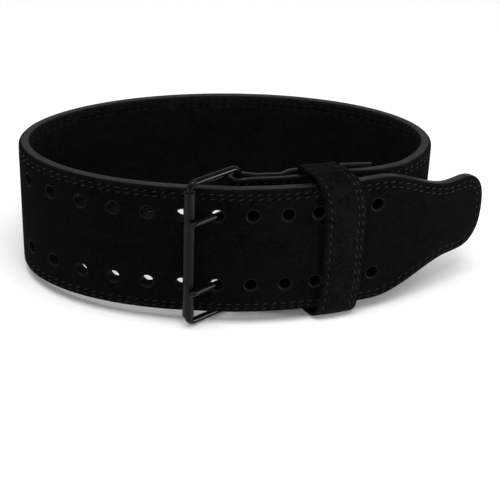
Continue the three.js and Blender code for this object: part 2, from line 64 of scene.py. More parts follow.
# The strap and its loop, measured outside
CLEARANCE = 0.3 * MM
STRAP_WIDTH = 101.6 * MM
STRAP_THICKNESS = 10 * MM
EDGE_RADIUS = 3.6 * MM
# The most of half a ply's thickness that the rounding takes
EDGE_SHARE = 0.85
LOOP_LENGTH = 311 * MM
LOOP_DEPTH = 170 * MM
HALF_WIDTH = STRAP_WIDTH / 2
HALF_STRAP = STRAP_THICKNESS / 2

# The strap's rings: how far apart they stand, and how far the strap may turn from one to the next
RING_STEP = 2.4 * MM
RING_TURN = 0.16
# Their heights below an edge, from its rounding to past the inner seam
SEAM_HEIGHTS = np.array([3.8, 4.4, 5.1, 5.8, 6.6, 7.1, 7.5, 7.9, 8.5, 9.4]) * MM
# The faces that lie closer than this to an edge are painted
PAINT_REACH = 0.1 * MM

# The seams: where they start at the flap's end, the half width of a groove, how much of the thread
# stands out of it and how flat the thread is pulled. The inner side's stitches are pulled in deeper.
SEAM_START = 12 * MM
GROOVE_REACH = 0.9 * MM
THREAD_RISE = 0.15
THREAD_FLATNESS = 0.8
INNER_STITCH_PULL = 0.28 * MM

# The free end's arc, flatter than the loop's own
TAIL_FLATTENING = 1.01
TAIL_DROP = 1.5 * MM
TAIL_FOOT = 10 * MM
TAIL_RADIUS = TAIL_FLATTENING * LOOP_LENGTH**2 / (2 * LOOP_DEPTH)
TAIL_CENTRE = np.array([TAIL_FOOT, TAIL_RADIUS - LOOP_DEPTH / 2 - TAIL_DROP])
TAIL_BLEND = 40 * MM

# The tongue, measured from its tip
TONGUE_WIDTH = 62 * MM
TONGUE_TIP_LENGTH = 27 * MM
TONGUE_TIP_POWER = 2.4
TONGUE_NECK = 36 * MM
TONGUE_SHOULDER = 104 * MM
# How far past the shoulder its outline is worked out, and how points crowd towards its tip
PAST_SHOULDER = 30 * MM
TIP_CROWDING = 2.2

# Two rows of prong holes, counted from the tongue, where the first ones stand closer
HOLE_COLUMNS = 13
HOLE_PITCH = 24.8 * MM
CLOSE_GAPS = 3
CLOSE_PITCH = 22.2 * MM
HOLE_ROW_SPACING = 56.8 * MM
HOLE_ROW_RISE = 1.7 * MM
HOLE_DIAMETER = 8.6 * MM
HOLE_RIM_DIAMETER = 11.6 * MM
HOLE_RIM_DEPTH = 1.6 * MM
FIRST_HOLE = 106.6 * MM
BUCKLED_HOLE = 6
HOLE_SIDES = 32
BORE_SIDES = 16

# The thinned buckle end, folded round the rear bar
FOLD_PLY = 5.6 * MM
BODY_PLY = 7 * MM
FLAP_PLY = 6.2 * MM
PLY_GAP = 0.5 * MM
FOLD_GAP = 5.5 * MM
LAP_GAP = 7.3 * MM
LAP_START = 14 * MM
LAP_TURN = 4 * MM
FOLD_TURN = (75, 285)
JOIN_GAP = 1.7 * MM
JOIN_RUN = 20 * MM
FLAP_END_RADIUS = 2.6 * MM
SLOT_WIDTH = 7 * MM
SLOT_REACH = 12 * MM

# The buckle
ROD_RADIUS = 2.5 * MM
FRAME_PLAY = 3.7 * MM
FRAME_BEND = 5.5 * MM
BAR_SPACING = 34.5 * MM
REAR_BAR_RUN = -6.6 * MM
ROLLER_RADIUS = 4.2 * MM
ROLLER_OVERHANG = 0.2 * MM
PRONG_RADIUS = 2.3 * MM
PRONG_OVERHANG = 3.5 * MM
PRONG_HOOK = 0.9 * MM
PRONG_TAPER = 0.3
PRONG_EYE_TURN = 265
ROLLER_ROUNDING = 0.7 * MM
ROD_SIDES = 24
PRONG_SIDES = 20
ROLLER_SIDES = 48

# The keeper
KEEPER_WIDTH = 30 * MM
KEEPER_WALL = 3 * MM
KEEPER_RISE = 5.5 * MM
KEEPER_CORNER = 10 * MM
KEEPER_FROM_BAR = 77.2 * MM
KEEPER_SKEW = 8 * MM
KEEPER_LEAN_ABOVE = 9 * MM
KEEPER_LEAN_BELOW = 4 * MM
KEEPER_LEAN_FROM = 20 * MM
KEEPER_EDGE_RADIUS = 1.3 * MM
KEEPER_GROOVE = 0.35 * MM
KEEPER_SEAMS = (-0.76, 0.62, 0.82)

# The rivets
RIVET_CAP_DIAMETER = 15 * MM
RIVET_CAP_HEIGHT = 2.8 * MM
RIVET_CAP_LIP = 0.8 * MM
RIVET_SHANK_DIAMETER = 4 * MM
RIVET_BACK_DIAMETER = 10 * MM
RIVET_BACK_HEIGHT = 1.2 * MM
RIVET_ROW_SPACING = 34 * MM
RIVET_FROM_BAR = 26 * MM
RIVET_EDGE = 13 * MM
CAP_SIDES = 40

# The stage: half the floor's width, the left lamp's share of the right one's power, and the camera's
# aim in the belt's own frame
FLOOR_REACH = 6
LEFT_SHARE = 0.25
CAMERA_TARGET = Vector((0.44 * MM, -5.24 * MM, 50.8 * MM))
CAMERA_SHIFT = (0.048, -0.1)

# The four corners of a section or a frame: their sides, and the angle at which each bend starts
CORNERS = ((1, 1, 0), (-1, 1, 90), (-1, -1, 180), (1, -1, 270))


# Plan shapes: the loop, the free end's arc, the lap of the buckle end


def ramp(value, low, high):
    """A smooth 0 to 1 between two places."""
    share = np.clip((value - low) / (high - low), 0, 1)
    return share * share * (3 - 2 * share)


def on_loop(angle, depth):
    """The loop's outline at an angle, at a depth inward from its outer face."""
    long, wide = LOOP_LENGTH / 2, LOOP_DEPTH / 2
    inward = np.array([-wide * math.cos(angle), -long * math.sin(angle)])
    face = np.array([long * math.cos(angle), wide * math.sin(angle)])
    return face + inward / np.linalg.norm(inward) * depth


def on_tail(run, depth):
    """The free end's arc: a run along its outer face and a depth inward from it."""
    angle, reach = run / TAIL_RADIUS, TAIL_RADIUS - depth
    return TAIL_CENTRE + reach * np.array([math.sin(angle), -math.cos(angle)])


def tail_place(point):
    """The run and depth of a point."""
    arm = point - TAIL_CENTRE
    return TAIL_RADIUS * math.atan2(arm[0], -arm[1]), TAIL_RADIUS - np.linalg.norm(arm)


FOLD_RADIUS = ROD_RADIUS + CLEARANCE + FOLD_PLY / 2
REAR_BAR_DEPTH = STRAP_THICKNESS + FOLD_GAP + FOLD_PLY / 2 + FOLD_RADIUS
REAR_BAR = on_tail(REAR_BAR_RUN, REAR_BAR_DEPTH)
FRONT_BAR = on_tail(REAR_BAR_RUN - BAR_SPACING, -ROLLER_RADIUS - CLEARANCE)

# The prongs' line touches the eye round the rear bar and the roller's outer side
EYE_RADIUS = ROD_RADIUS + CLEARANCE + PRONG_RADIUS
ROLLER_REST = ROLLER_RADIUS + CLEARANCE + PRONG_RADIUS
BAR_LINE = FRONT_BAR - REAR_BAR
PRONG_TURN = math.atan2(BAR_LINE[1], BAR_LINE[0]) % math.tau + math.asin(
    (ROLLER_REST - EYE_RADIUS) / np.linalg.norm(BAR_LINE)
)
PRONG_LINE = np.array([math.cos(PRONG_TURN), math.sin(PRONG_TURN)])
PRONG_SIDE = np.array([-PRONG_LINE[1], PRONG_LINE[0]])
PRONG_START = REAR_BAR + PRONG_SIDE * EYE_RADIUS
PRONG_REST = FRONT_BAR + PRONG_SIDE * ROLLER_REST


def prong_crossing():
    """The run at which the prongs cross the middle of the free end."""
    arm = PRONG_START - TAIL_CENTRE
    along = arm @ PRONG_LINE
    reach = TAIL_RADIUS - HALF_STRAP
    distance = -along + math.sqrt(along**2 - arm @ arm + reach**2)
    return tail_place(PRONG_START + PRONG_LINE * distance)[0]


def hole_distance(column):
    """A hole column's distance from the tip; the first column is 1."""
    close = min(column - 1, CLOSE_GAPS)
    return FIRST_HOLE + close * CLOSE_PITCH + (column - 1 - close) * HOLE_PITCH


TIP_DISTANCE = hole_distance(BUCKLED_HOLE)
TIP_RUN = prong_crossing() + TIP_DISTANCE * TAIL_RADIUS / (TAIL_RADIUS - HALF_STRAP)

KEEPER_SLOT = KEEPER_WALL + 2 * CLEARANCE
LAP_DEPTH = STRAP_THICKNESS + LAP_GAP
KEEPER_BACK = LAP_DEPTH + BODY_PLY + CLEARANCE
KEEPER_HIGH = HALF_WIDTH + KEEPER_RISE + KEEPER_WALL


def keeper_run(depth, height):
    """The keeper's run at a depth and a height: its back, top and bottom lean to the buckle."""
    lean_by = KEEPER_LEAN_ABOVE if height > 0 else KEEPER_LEAN_BELOW
    share = max(abs(height) - KEEPER_LEAN_FROM, 0) / (KEEPER_HIGH - KEEPER_LEAN_FROM)
    run = REAR_BAR_RUN + KEEPER_FROM_BAR - KEEPER_SKEW * depth / KEEPER_BACK
    return run - lean_by * share**2


KEEPER_FROM = keeper_run(KEEPER_BACK, HALF_WIDTH) - KEEPER_WIDTH / 2
KEEPER_TO = keeper_run(KEEPER_BACK, 0) + KEEPER_WIDTH / 2
RIVET_RUNS = (
    REAR_BAR_RUN + RIVET_FROM_BAR,
    KEEPER_TO + LAP_TURN * 1.5 + RIVET_CAP_DIAMETER / 2,
)
LAP_LEAVES = KEEPER_TO + LAP_TURN
FLAP_END = RIVET_RUNS[1] + RIVET_EDGE


def mix(low, high, share):
    """A place between two others."""
    return low + (high - low) * share


def lap_at(run):
    """The lap's plies: the body's face and thickness, the slot behind it, and the flap."""
    opened = ramp(run, RIVET_RUNS[0] + RIVET_CAP_DIAMETER / 2, KEEPER_FROM - LAP_TURN)
    joined = min(max((run - LAP_LEAVES) / (FLAP_END - LAP_LEAVES), 0), 1)
    face = mix(LAP_DEPTH, STRAP_THICKNESS + JOIN_GAP, joined)
    body = mix(mix(FOLD_PLY, BODY_PLY, opened), STRAP_THICKNESS, joined)
    slot = mix(PLY_GAP, KEEPER_SLOT, opened * (1 - joined))
    return face, body, slot, mix(FOLD_PLY, FLAP_PLY, opened)


def body_guide(run):
    """The middle of the lap's body ply at a run, and its thickness."""
    face, body, _, _ = lap_at(run)
    return (*on_tail(run, face + body / 2), body)


def flap_guide(run):
    """The middle of the inner flap at a run, and its thickness."""
    face, body, slot, flap = lap_at(run)
    return (*on_tail(run, face + body + slot + flap / 2), flap)


def join_angle():
    """The loop's angle at which the buckle end has come out to it."""
    last = 0
    for angle in np.linspace(0, -math.pi / 2, 181):
        run, depth = tail_place(on_loop(angle, 0))
        if depth < STRAP_THICKNESS + JOIN_GAP or run < FLAP_END + JOIN_RUN:
            break
        last = angle
    return last


def strap_guides():
    """The strap's middle line from the flap's cut end to the tongue's tip, with its thickness."""
    flap = [flap_guide(run) for run in np.linspace(FLAP_END, REAR_BAR_RUN + LAP_START, 15)]
    fold = []
    for degrees in np.linspace(*FOLD_TURN, 8):
        turn = math.radians(degrees) + REAR_BAR_RUN / TAIL_RADIUS
        place = REAR_BAR + FOLD_RADIUS * np.array([math.cos(turn), math.sin(turn)])
        fold.append((*place, FOLD_PLY))
    runs = np.linspace(REAR_BAR_RUN + LAP_START, FLAP_END + LAP_TURN, 16)
    body = [body_guide(run) for run in runs]
    front = math.pi + math.acos(TAIL_BLEND / (LOOP_LENGTH / 2))
    angles = np.linspace(join_angle(), front, 63)
    loop = [(*on_loop(angle, HALF_STRAP), STRAP_THICKNESS) for angle in angles]
    runs = np.linspace(-TAIL_FOOT, TIP_RUN, 24)
    tail = [(*on_tail(run, HALF_STRAP), STRAP_THICKNESS) for run in runs]
    return np.array(flap + fold + body + loop + tail)


def smooth_line(guides, steps):
    """A centripetal Catmull-Rom curve through the guide points."""
    ends = (2 * guides[:1] - guides[1:2], 2 * guides[-1:] - guides[-2:-1])
    points = np.concatenate([ends[0], guides, ends[1]])
    before, start, end, after = points[:-3], points[1:-2], points[2:-1], points[3:]
    gap0, gap1, gap2 = (
        np.linalg.norm(b - a, axis=1, keepdims=True) ** 0.5
        for a, b in ((before, start), (start, end), (end, after))
    )
    out = (start - before) / gap0 - (end - before) / (gap0 + gap1) + (end - start) / gap1
    into = (end - start) / gap1 - (after - start) / (gap1 + gap2) + (after - end) / gap2
    out, into = out * gap1, into * gap1
    share = (np.arange(steps) / steps)[None, :, None]
    line = (
        start[:, None]
        + out[:, None] * share
        + (3 * (end - start) - 2 * out - into)[:, None] * share**2
        + (2 * (start - end) + out + into)[:, None] * share**3
    )
    return np.concatenate([line.reshape(-1, 3), guides[-1:]])


class StrapLine:
    """The strap's middle line, read by the length along it from the flap's cut end."""

    def __init__(self):
        line = smooth_line(strap_guides(), 24)
        steps = np.linalg.norm(np.diff(line[:, :2], axis=0), axis=1)
        self.lengths = np.concatenate([[0], np.cumsum(steps)])
        self.line = line
        ahead = np.gradient(line[:, :2], self.lengths, axis=0)
        self.ahead = ahead / np.linalg.norm(ahead, axis=1, keepdims=True)
        self.length = self.lengths[-1]

    def at(self, length):
        """Point, outward direction and thickness, for an array of lengths."""
        read = [np.interp(length, self.lengths, self.line[:, i]) for i in range(3)]
        ahead = [np.interp(length, self.lengths, self.ahead[:, i]) for i in range(2)]
        ahead = np.stack(ahead, axis=-1)
        ahead /= np.linalg.norm(ahead, axis=-1, keepdims=True)
        outward = np.stack([ahead[..., 1], -ahead[..., 0]], axis=-1)
        return np.stack(read[:2], axis=-1), outward, read[2]


STRAP = StrapLine()


def half_width(from_tip):
    """Half the strap's width at a distance from its tip."""
    full = ramp(from_tip, TONGUE_NECK, TONGUE_SHOULDER)
    straight = mix(TONGUE_WIDTH / 2, HALF_WIDTH, full)
    in_tip = np.clip(1 - from_tip / TONGUE_TIP_LENGTH, 0, 1)
    return straight * (1 - in_tip**TONGUE_TIP_POWER) ** (1 / TONGUE_TIP_POWER)


def outline(inset=0.0):
    """The tongue's outline in the flat, as length and height, moved inward by an inset."""
    turn = np.linspace(0, 1, 160)
    reach = (TONGUE_SHOULDER + PAST_SHOULDER) * turn**TIP_CROWDING
    side = np.stack([STRAP.length - reach, half_width(reach)], axis=1)
    line = np.concatenate([side[::-1], side[1:] * (1, -1)])
    if inset:
        along = np.gradient(line, axis=0)
        along /= np.linalg.norm(along, axis=1, keepdims=True)
        line = line + inset * np.stack([along[:, 1], -along[:, 0]], axis=1)
        line = line[edge_distance(line) > inset * 0.97]
    return line


def edge_distance(places):
    """How far places in the flat, given as length and height, lie from the strap's edge."""
    places = np.asarray(places)
    plain = np.minimum(half_width(STRAP.length - places[:, 0]) - np.abs(places[:, 1]), places[:, 0])
    near = places[:, 0] > STRAP.length - TONGUE_SHOULDER - 10 * MM
    if near.any():
        line = outline()
        start, step = line[:-1], np.diff(line, axis=0)
        arm = places[near][:, None] - start
        share = np.clip((arm * step).sum(2) / (step * step).sum(1), 0, 1)
        gap = np.linalg.norm(arm - share[..., None] * step, axis=2).min(1)
        plain[near] = np.where(plain[near] > 0, gap, 0)
    return plain


# Meshes


LAY = Matrix.Translation(REST) @ Matrix.Rotation(-LEAN, 4, "X")


def lean(points):
    """Lays points of the belt's own frame as the belt rests."""
    turn = np.array(LAY.to_3x3())
    return np.asarray(points) @ turn.T + np.array(LAY.translation)


def new_piece(name, points, faces, material, smooth_degrees=40):
    """A mesh object at the origin, from points that are already laid at rest."""
    mesh = bpy.data.meshes.new(name)
    mesh.from_pydata([tuple(p) for p in points], [], faces)
    work = bmesh.new()
    work.from_mesh(mesh)
    bmesh.ops.recalc_face_normals(work, faces=work.faces)
    work.to_mesh(mesh)
    work.free()
    mesh.polygons.foreach_set("use_smooth", [True] * len(mesh.polygons))
    mesh.set_sharp_from_angle(angle=math.radians(smooth_degrees))
    mesh.materials.append(material)
    piece = bpy.data.objects.new(name, mesh)
    bpy.context.scene.collection.objects.link(piece)
    return piece


def ring_faces(rings, count, closed):
    """Faces between rings of equally many points, closed in a circle or capped at both ends."""
    faces = []
    for i in range(rings if closed else rings - 1):
        here, there = i * count, (i + 1) % rings * count
        for j in range(count):
            k = (j + 1) % count
            faces.append((here + j, here + k, there + k, there + j))
    if not closed:
        faces.append(tuple(range(count))[::-1])
        faces.append(tuple(range((rings - 1) * count, rings * count)))
    return faces


def apply_modifier(piece):
    """Makes the evaluated mesh the piece's own and drops its modifiers."""
    graph = bpy.context.evaluated_depsgraph_get()
    graph.update()
    made = bpy.data.meshes.new_from_object(piece.evaluated_get(graph))
    old = piece.data
    piece.modifiers.clear()
    piece.data = made
    bpy.data.meshes.remove(old)
    made.name = piece.name
    return piece


def revolve(profile, sides, place=(0, 0)):
    """Points of a profile of radius and height turned about an upright line."""
    turns = np.arange(sides) * math.tau / sides
    rings = []
    for radius, height in profile:
        ring = np.stack([radius * np.cos(turns), radius * np.sin(turns), np.full(sides, height)], 1)
        rings.append(ring + (*place, 0))
    return np.concatenate(rings)


def declare(piece, slot, *nodes):
    """Attaches a piece to the belt's one body and hides the imported nodes that it stands for. The slot,
    what the piece is made of, is not used.
    """
    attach(piece, "root")
    if nodes:
        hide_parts(*nodes)


# Node trees


def linear(colour):
    """sRGB hex to linear colour with alpha."""
    parts = [int(colour[i : i + 2], 16) / 255 for i in (1, 3, 5)]
    return (*(p / 12.92 if p <= 0.04045 else ((p + 0.055) / 1.055) ** 2.4 for p in parts), 1.0)


def tone(key):
    """One of the belt's colours as sRGB hex."""
    parts = getattr(bpy.context.scene.belt_colours, key)
    return "#" + "".join(f"{round(part * 255):02x}" for part in parts)


def feed(tree, node, inputs):
    """Links a node's inputs to sockets or sets them to values. A hex colour is turned to linear."""
    for key, value in inputs.items():
        if isinstance(value, bpy.types.NodeSocket):
            tree.links.new(value, node.inputs[key])
        elif isinstance(value, str) and value.startswith("#"):
            node.inputs[key].default_value = linear(value)
        else:
            node.inputs[key].default_value = value


def add(tree, kind, inputs=None, **settings):
    """Adds a node with its settings, feeds its inputs, and gives back its outputs."""
    node = tree.nodes.new(kind)
    for key, value in settings.items():
        setattr(node, key, value)
    feed(tree, node, inputs or {})
    return node.outputs


def new_material(name):
    """A material with a Principled shader alone, and the place on the piece that its patterns follow."""
    material = bpy.data.materials.new(name)
    material.use_nodes = True
    tree = material.node_tree
    tree.nodes.clear()
    shader = tree.nodes.new("ShaderNodeBsdfPrincipled")
    add(tree, "ShaderNodeOutputMaterial", {0: shader.outputs[0]})
    return material, tree, shader, add(tree, "ShaderNodeTexCoord")["Object"]


def mottle(tree, place, size, detail, roughness, reach, dark, pale, distortion=0.0):
    """Patches about one size across, in metres, and a colour that goes from dark to pale with them."""
    patches = add(
        tree,
        "ShaderNodeTexNoise",
        {
            "Vector": place,
            "Scale": 1 / size,
            "Detail": detail,
            "Roughness": roughness,
            "Distortion": distortion,
        },
    )["Fac"]
    low, high = reach
    share = add(tree, "ShaderNodeMapRange", {"Value": patches, "From Min": low, "From Max": high})
    return patches, add(tree, "ShaderNodeMix", {0: share["Result"], 6: dark, 7: pale}, data_type="RGBA")[2]


def black_suede(name, tones):
    """Black suede, the buffed flesh side of cowhide, in four tones.

    The nap scatters light, so it shows next to no gloss: darker and paler patches where it lies one way
    or the other, and a fine grain of fibre tufts. Paint from the edges reaches a little over its border.
    """
    material, tree, shader, place = new_material(name)
    low, plain, pale, fibre = (tone(key) for key in tones)
    # Nap: patches of 30 and 9 mm and tufts of 2.4 mm. The fibres, a tenth of a millimetre thick, are
    # drawn as specks of 1.3 mm, because finer ones wouldn't show.
    _, nap = mottle(tree, place, 30 * MM, 3, 0.6, (0.3, 0.7), low, plain)
    _, clouds = mottle(tree, place, 9 * MM, 4, 0.65, (0.35, 0.75), nap, pale, 0.6)
    fibres, specks = mottle(tree, place, 1.3 * MM, 3, 0.7, (0.5, 0.72), clouds, fibre)
    grain = {"Vector": place, "Scale": 1 / (2.4 * MM), "Detail": 3, "Roughness": 0.6}
    tufts = add(tree, "ShaderNodeTexNoise", grain)["Fac"]
    # The paint fades out between 0.05 and 1.15 mm from the edge, with a border that wanders
    uv = add(tree, "ShaderNodeUVMap", uv_map="strap")["UV"]
    from_edge = add(tree, "ShaderNodeSeparateXYZ", {"Vector": uv})["Y"]
    waves = add(tree, "ShaderNodeTexNoise", {"Vector": place, "Scale": 1 / (5 * MM), "Detail": 3})["Fac"]
    wave = add(tree, "ShaderNodeMapRange", {"Value": waves, "To Min": -0.25 * MM, "To Max": 0.25 * MM})
    border = add(tree, "ShaderNodeMath", {0: from_edge, 1: wave["Result"]}, operation="ADD")[0]
    reach = {"Value": border, "From Min": 0.9 * MM, "From Max": 0.3 * MM}
    painted = add(tree, "ShaderNodeMapRange", reach)["Result"]
    coat = add(tree, "ShaderNodeMix", {0: painted, 6: specks, 7: tone("edge")}, data_type="RGBA")[2]
    gloss = add(tree, "ShaderNodeMapRange", {"Value": painted, "To Min": 0.95, "To Max": 0.6})["Result"]
    coarse = add(tree, "ShaderNodeBump", {"Height": tufts, "Distance": 0.35 * MM, "Strength": 0.5})
    fine = {"Height": fibres, "Distance": 0.16 * MM, "Strength": 0.6, "Normal": coarse["Normal"]}
    finish = {
        "Base Color": coat,
        "Roughness": gloss,
        "Sheen Weight": 0.004,
        "Sheen Roughness": 0.6,
        "Specular IOR Level": 0.012,
        "Normal": add(tree, "ShaderNodeBump", fine)["Normal"],
    }
    feed(tree, shader, finish)
    return material


def painted_edge():
    """Cut leather edge, sanded, burnished and painted black: satin, with streaks along the strap."""
    material, tree, shader, place = new_material("painted_leather_edge")
    uv = add(tree, "ShaderNodeUVMap", uv_map="strap")["UV"]
    strap = add(tree, "ShaderNodeSeparateXYZ", {"Vector": uv})
    spot = add(tree, "ShaderNodeSeparateXYZ", {"Vector": place})
    level = add(tree, "ShaderNodeMath", {0: spot["Z"], 1: spot["Y"]}, operation="SUBTRACT")[0]
    # Streaks about 45 mm long and 0.9 mm wide, from the plies and the sanding
    along = add(tree, "ShaderNodeMath", {0: strap["X"], 1: 0.02}, operation="MULTIPLY")[0]
    drawn = add(tree, "ShaderNodeCombineXYZ", {"X": along, "Y": strap["Y"], "Z": level})[0]
    streaks, paint = mottle(tree, drawn, 0.9 * MM, 3, 0.7, (0.3, 0.7), tone("edge_dark"), tone("edge"))
    _, worn = mottle(tree, place, 5 * MM, 4, 0.75, (0.45, 0.7), paint, tone("edge_pale"))
    gloss = {"Value": streaks, "From Min": 0.3, "From Max": 0.7, "To Min": 0.38, "To Max": 0.55}
    relief = {"Height": streaks, "Distance": 0.12 * MM, "Strength": 0.4}
    finish = {
        "Base Color": worn,
        "Roughness": add(tree, "ShaderNodeMapRange", gloss)["Result"],
        "Specular IOR Level": 0.3,
        "Normal": add(tree, "ShaderNodeBump", relief)["Normal"],
    }
    feed(tree, shader, finish)
    return material


def burnished_leather():
    """Leather pressed and burnished round a punched hole: a little smoother and paler than the nap."""
    material, tree, shader, place = new_material("burnished_hole_leather")
    grain, mottled = mottle(tree, place, 0.9 * MM, 3, 0.6, (0.3, 0.75), tone("suede"), tone("hole"))
    relief = {"Height": grain, "Distance": 0.2 * MM, "Strength": 0.5}
    finish = {
        "Base Color": mottled,
        "Roughness": 0.6,
        "Specular IOR Level": 0.08,
        "Normal": add(tree, "ShaderNodeBump", relief)["Normal"],
    }
    feed(tree, shader, finish)
    return material


def keeper_suede():
    """Soft black suede of a sewn keeper, a lighter split than the strap's, so its nap shows paler."""
    material, tree, shader, place = new_material("soft_black_suede")
    cloud = {"Scale": 1 / (8 * MM), "Detail": 4, "Roughness": 0.65, "Distortion": 0.5}
    tuft = {"Scale": 1 / (2.6 * MM), "Detail": 3, "Roughness": 0.65, "Distortion": 0.4}
    clouds, tufts = (
        add(tree, "ShaderNodeTexNoise", {"Vector": place, **each})["Fac"] for each in (cloud, tuft)
    )
    mixed = add(tree, "ShaderNodeMath", {0: clouds, 1: tufts}, operation="ADD")[0]
    share = add(tree, "ShaderNodeMapRange", {"Value": mixed, "From Min": 0.85, "From Max": 1.15})
    tones = {0: share["Result"], 6: tone("keeper_dark"), 7: tone("keeper")}
    nap = add(tree, "ShaderNodeMix", tones, data_type="RGBA")[2]
    # The fibres are drawn as specks of 1.5 mm, because finer ones wouldn't show
    fibres, specks = mottle(tree, place, 1.5 * MM, 3, 0.7, (0.5, 0.7), nap, tone("keeper_fibre"))
    coarse = add(tree, "ShaderNodeBump", {"Height": tufts, "Distance": 0.5 * MM, "Strength": 0.7})
    fine = {"Height": fibres, "Distance": 0.16 * MM, "Strength": 0.6, "Normal": coarse["Normal"]}
    finish = {
        "Base Color": specks,
        "Roughness": 0.9,
        "Sheen Weight": 0.01,
        "Specular IOR Level": 0.03,
        "Normal": add(tree, "ShaderNodeBump", fine)["Normal"],
    }
    feed(tree, shader, finish)
    return material


def waxed_thread():
    """Waxed polyester thread, twisted: a faint gloss and fine slanting strands."""
    material, tree, shader, place = new_material("waxed_polyester_thread")
    strands, twisted = mottle(
        tree, place, 0.6 * MM, 2, 0.5, (0.3, 0.7), tone("thread_dark"), tone("thread")
    )
    relief = {"Height": strands, "Distance": 0.15 * MM, "Strength": 0.5}
    finish = {
        "Base Color": twisted,
        "Roughness": 0.7,
        "Specular IOR Level": 0.2,
        "Normal": add(tree, "ShaderNodeBump", relief)["Normal"],
    }
    feed(tree, shader, finish)
    return material


def black_oxide_steel(name, smooth, rough):
    """Steel with a black oxide finish: dark and oiled, with handling marks.

    The drawn rod is smooth and the rolled sleeve that turns on it is duller, between the two
    roughnesses that are given.
    """
    material, tree, shader, place = new_material(name)
    cloud, oxide = mottle(tree, place, 12 * MM, 4, 0.6, (0.3, 0.7), tone("steel_dark"), tone("steel"))
    fine = {"Vector": place, "Scale": 1 / (0.6 * MM), "Detail": 2, "Roughness": 0.6}
    grit = add(tree, "ShaderNodeTexNoise", fine)["Fac"]
    gloss = {"Value": cloud, "From Min": 0.3, "From Max": 0.7, "To Min": smooth, "To Max": rough}
    relief = {"Height": grit, "Distance": 0.03 * MM, "Strength": 0.5}
    finish = {
        "Base Color": oxide,
        "Metallic": 0.85,
        "Roughness": add(tree, "ShaderNodeMapRange", gloss)["Result"],
        "Normal": add(tree, "ShaderNodeBump", relief)["Normal"],
    }
    feed(tree, shader, finish)
    return material


def polished_nickel():
    """Nickel plate on a stamped cap: bright, faintly warm, with fine rubbing marks."""
    material, tree, shader, place = new_material("polished_nickel")
    rub, plate = mottle(tree, place, 3 * MM, 4, 0.7, (0.3, 0.7), tone("nickel_dark"), tone("nickel"))
    gloss = {"Value": rub, "From Min": 0.3, "From Max": 0.7, "To Min": 0.18, "To Max": 0.3}
    roughness = add(tree, "ShaderNodeMapRange", gloss)["Result"]
    feed(tree, shader, {"Base Color": plate, "Metallic": 1, "Roughness": roughness})
    return material


# Geometry Nodes


def new_tree(name, sockets):
    """A Geometry Nodes tree with a geometry input and output and named inputs, and what it is given."""
    tree = bpy.data.node_groups.new(name, "GeometryNodeTree")
    tree.interface.new_socket("Geometry", in_out="OUTPUT", socket_type="NodeSocketGeometry")
    for label, kind in {"Geometry": "Geometry", **sockets}.items():
        tree.interface.new_socket(label, in_out="INPUT", socket_type="NodeSocket" + kind)
    return tree, add(tree, "NodeGroupInput")


def end_tree(tree, instances, material):
    """Ends a tree: makes its instances real and gives them their material."""
    real = add(tree, "GeometryNodeRealizeInstances", {"Geometry": instances})[0]
    shown = add(tree, "GeometryNodeSetMaterial", {"Geometry": real, "Material": material})[0]
    add(tree, "NodeGroupOutput", {"Geometry": shown})
    return tree


def run_tree(piece, tree, values):
    """Runs a tree on a piece with values for its named inputs, and keeps the plain mesh."""
    modifier = piece.modifiers.new(tree.name, "NODES")
    modifier.node_group = tree
    for item in tree.interface.items_tree:
        if item.item_type == "SOCKET" and item.in_out == "INPUT" and item.name in values:
            modifier[item.identifier] = values[item.name]
    return apply_modifier(piece)


def stitch_tree():
    """Lays one stitch after another along lines on the leather, which carry its outward direction."""
    sizes = ("Stitch Pitch", "Stitch Length", "Thread Thickness", "Slant", "Unevenness")
    sockets = {**dict.fromkeys(sizes, "Float"), "Seed": "Int", "Material": "Material"}
    tree, given = new_tree("stitches", sockets)
    lines = add(tree, "GeometryNodeMeshToCurve", {"Mesh": given["Geometry"]})[0]
    pitch = {"Curve": lines, "Length": given["Stitch Pitch"]}
    spaced = add(tree, "GeometryNodeResampleCurve", pitch, mode="LENGTH")[0]
    attribute = {"data_type": "FLOAT_VECTOR"}
    outward = add(tree, "GeometryNodeInputNamedAttribute", {"Name": "outward"}, **attribute)["Attribute"]
    upright = add(tree, "FunctionNodeAlignRotationToVector", {"Vector": outward}, axis="Z")[0]
    ahead = {"Rotation": upright, "Vector": add(tree, "GeometryNodeInputTangent")[0]}
    along = add(tree, "FunctionNodeAlignRotationToVector", ahead, axis="X", pivot_axis="Z")[0]
    spread = {"Min": -1, "Max": 1, "Seed": given["Seed"]}
    slack = add(tree, "FunctionNodeRandomValue", spread, data_type="FLOAT")["Value"]
    uneven = add(tree, "ShaderNodeMath", {0: slack, 1: given["Unevenness"]}, operation="MULTIPLY")[0]
    slant = add(tree, "ShaderNodeMath", {0: uneven, 1: given["Slant"]}, operation="ADD")[0]
    turn = {"Rotation": along, "Rotate By": add(tree, "ShaderNodeCombineXYZ", {"Z": slant})[0]}
    turned = add(tree, "FunctionNodeRotateRotation", turn, rotation_space="LOCAL")[0]
    thick = given["Thread Thickness"]
    flat = add(tree, "ShaderNodeMath", {0: thick, 1: THREAD_FLATNESS}, operation="MULTIPLY")[0]
    size = add(tree, "ShaderNodeCombineXYZ", {"X": given["Stitch Length"], "Y": thick, "Z": flat})[0]
    ball = add(tree, "GeometryNodeMeshUVSphere", {"Segments": 8, "Rings": 6, "Radius": 0.5})["Mesh"]
    stitch = add(tree, "GeometryNodeTransform", {"Geometry": ball, "Scale": size})[0]
    rounded = add(tree, "GeometryNodeSetShadeSmooth", {"Geometry": stitch})[0]
    places = {"Points": spaced, "Instance": rounded, "Rotation": turned}
    return end_tree(tree, add(tree, "GeometryNodeInstanceOnPoints", places)[0], given["Material"])


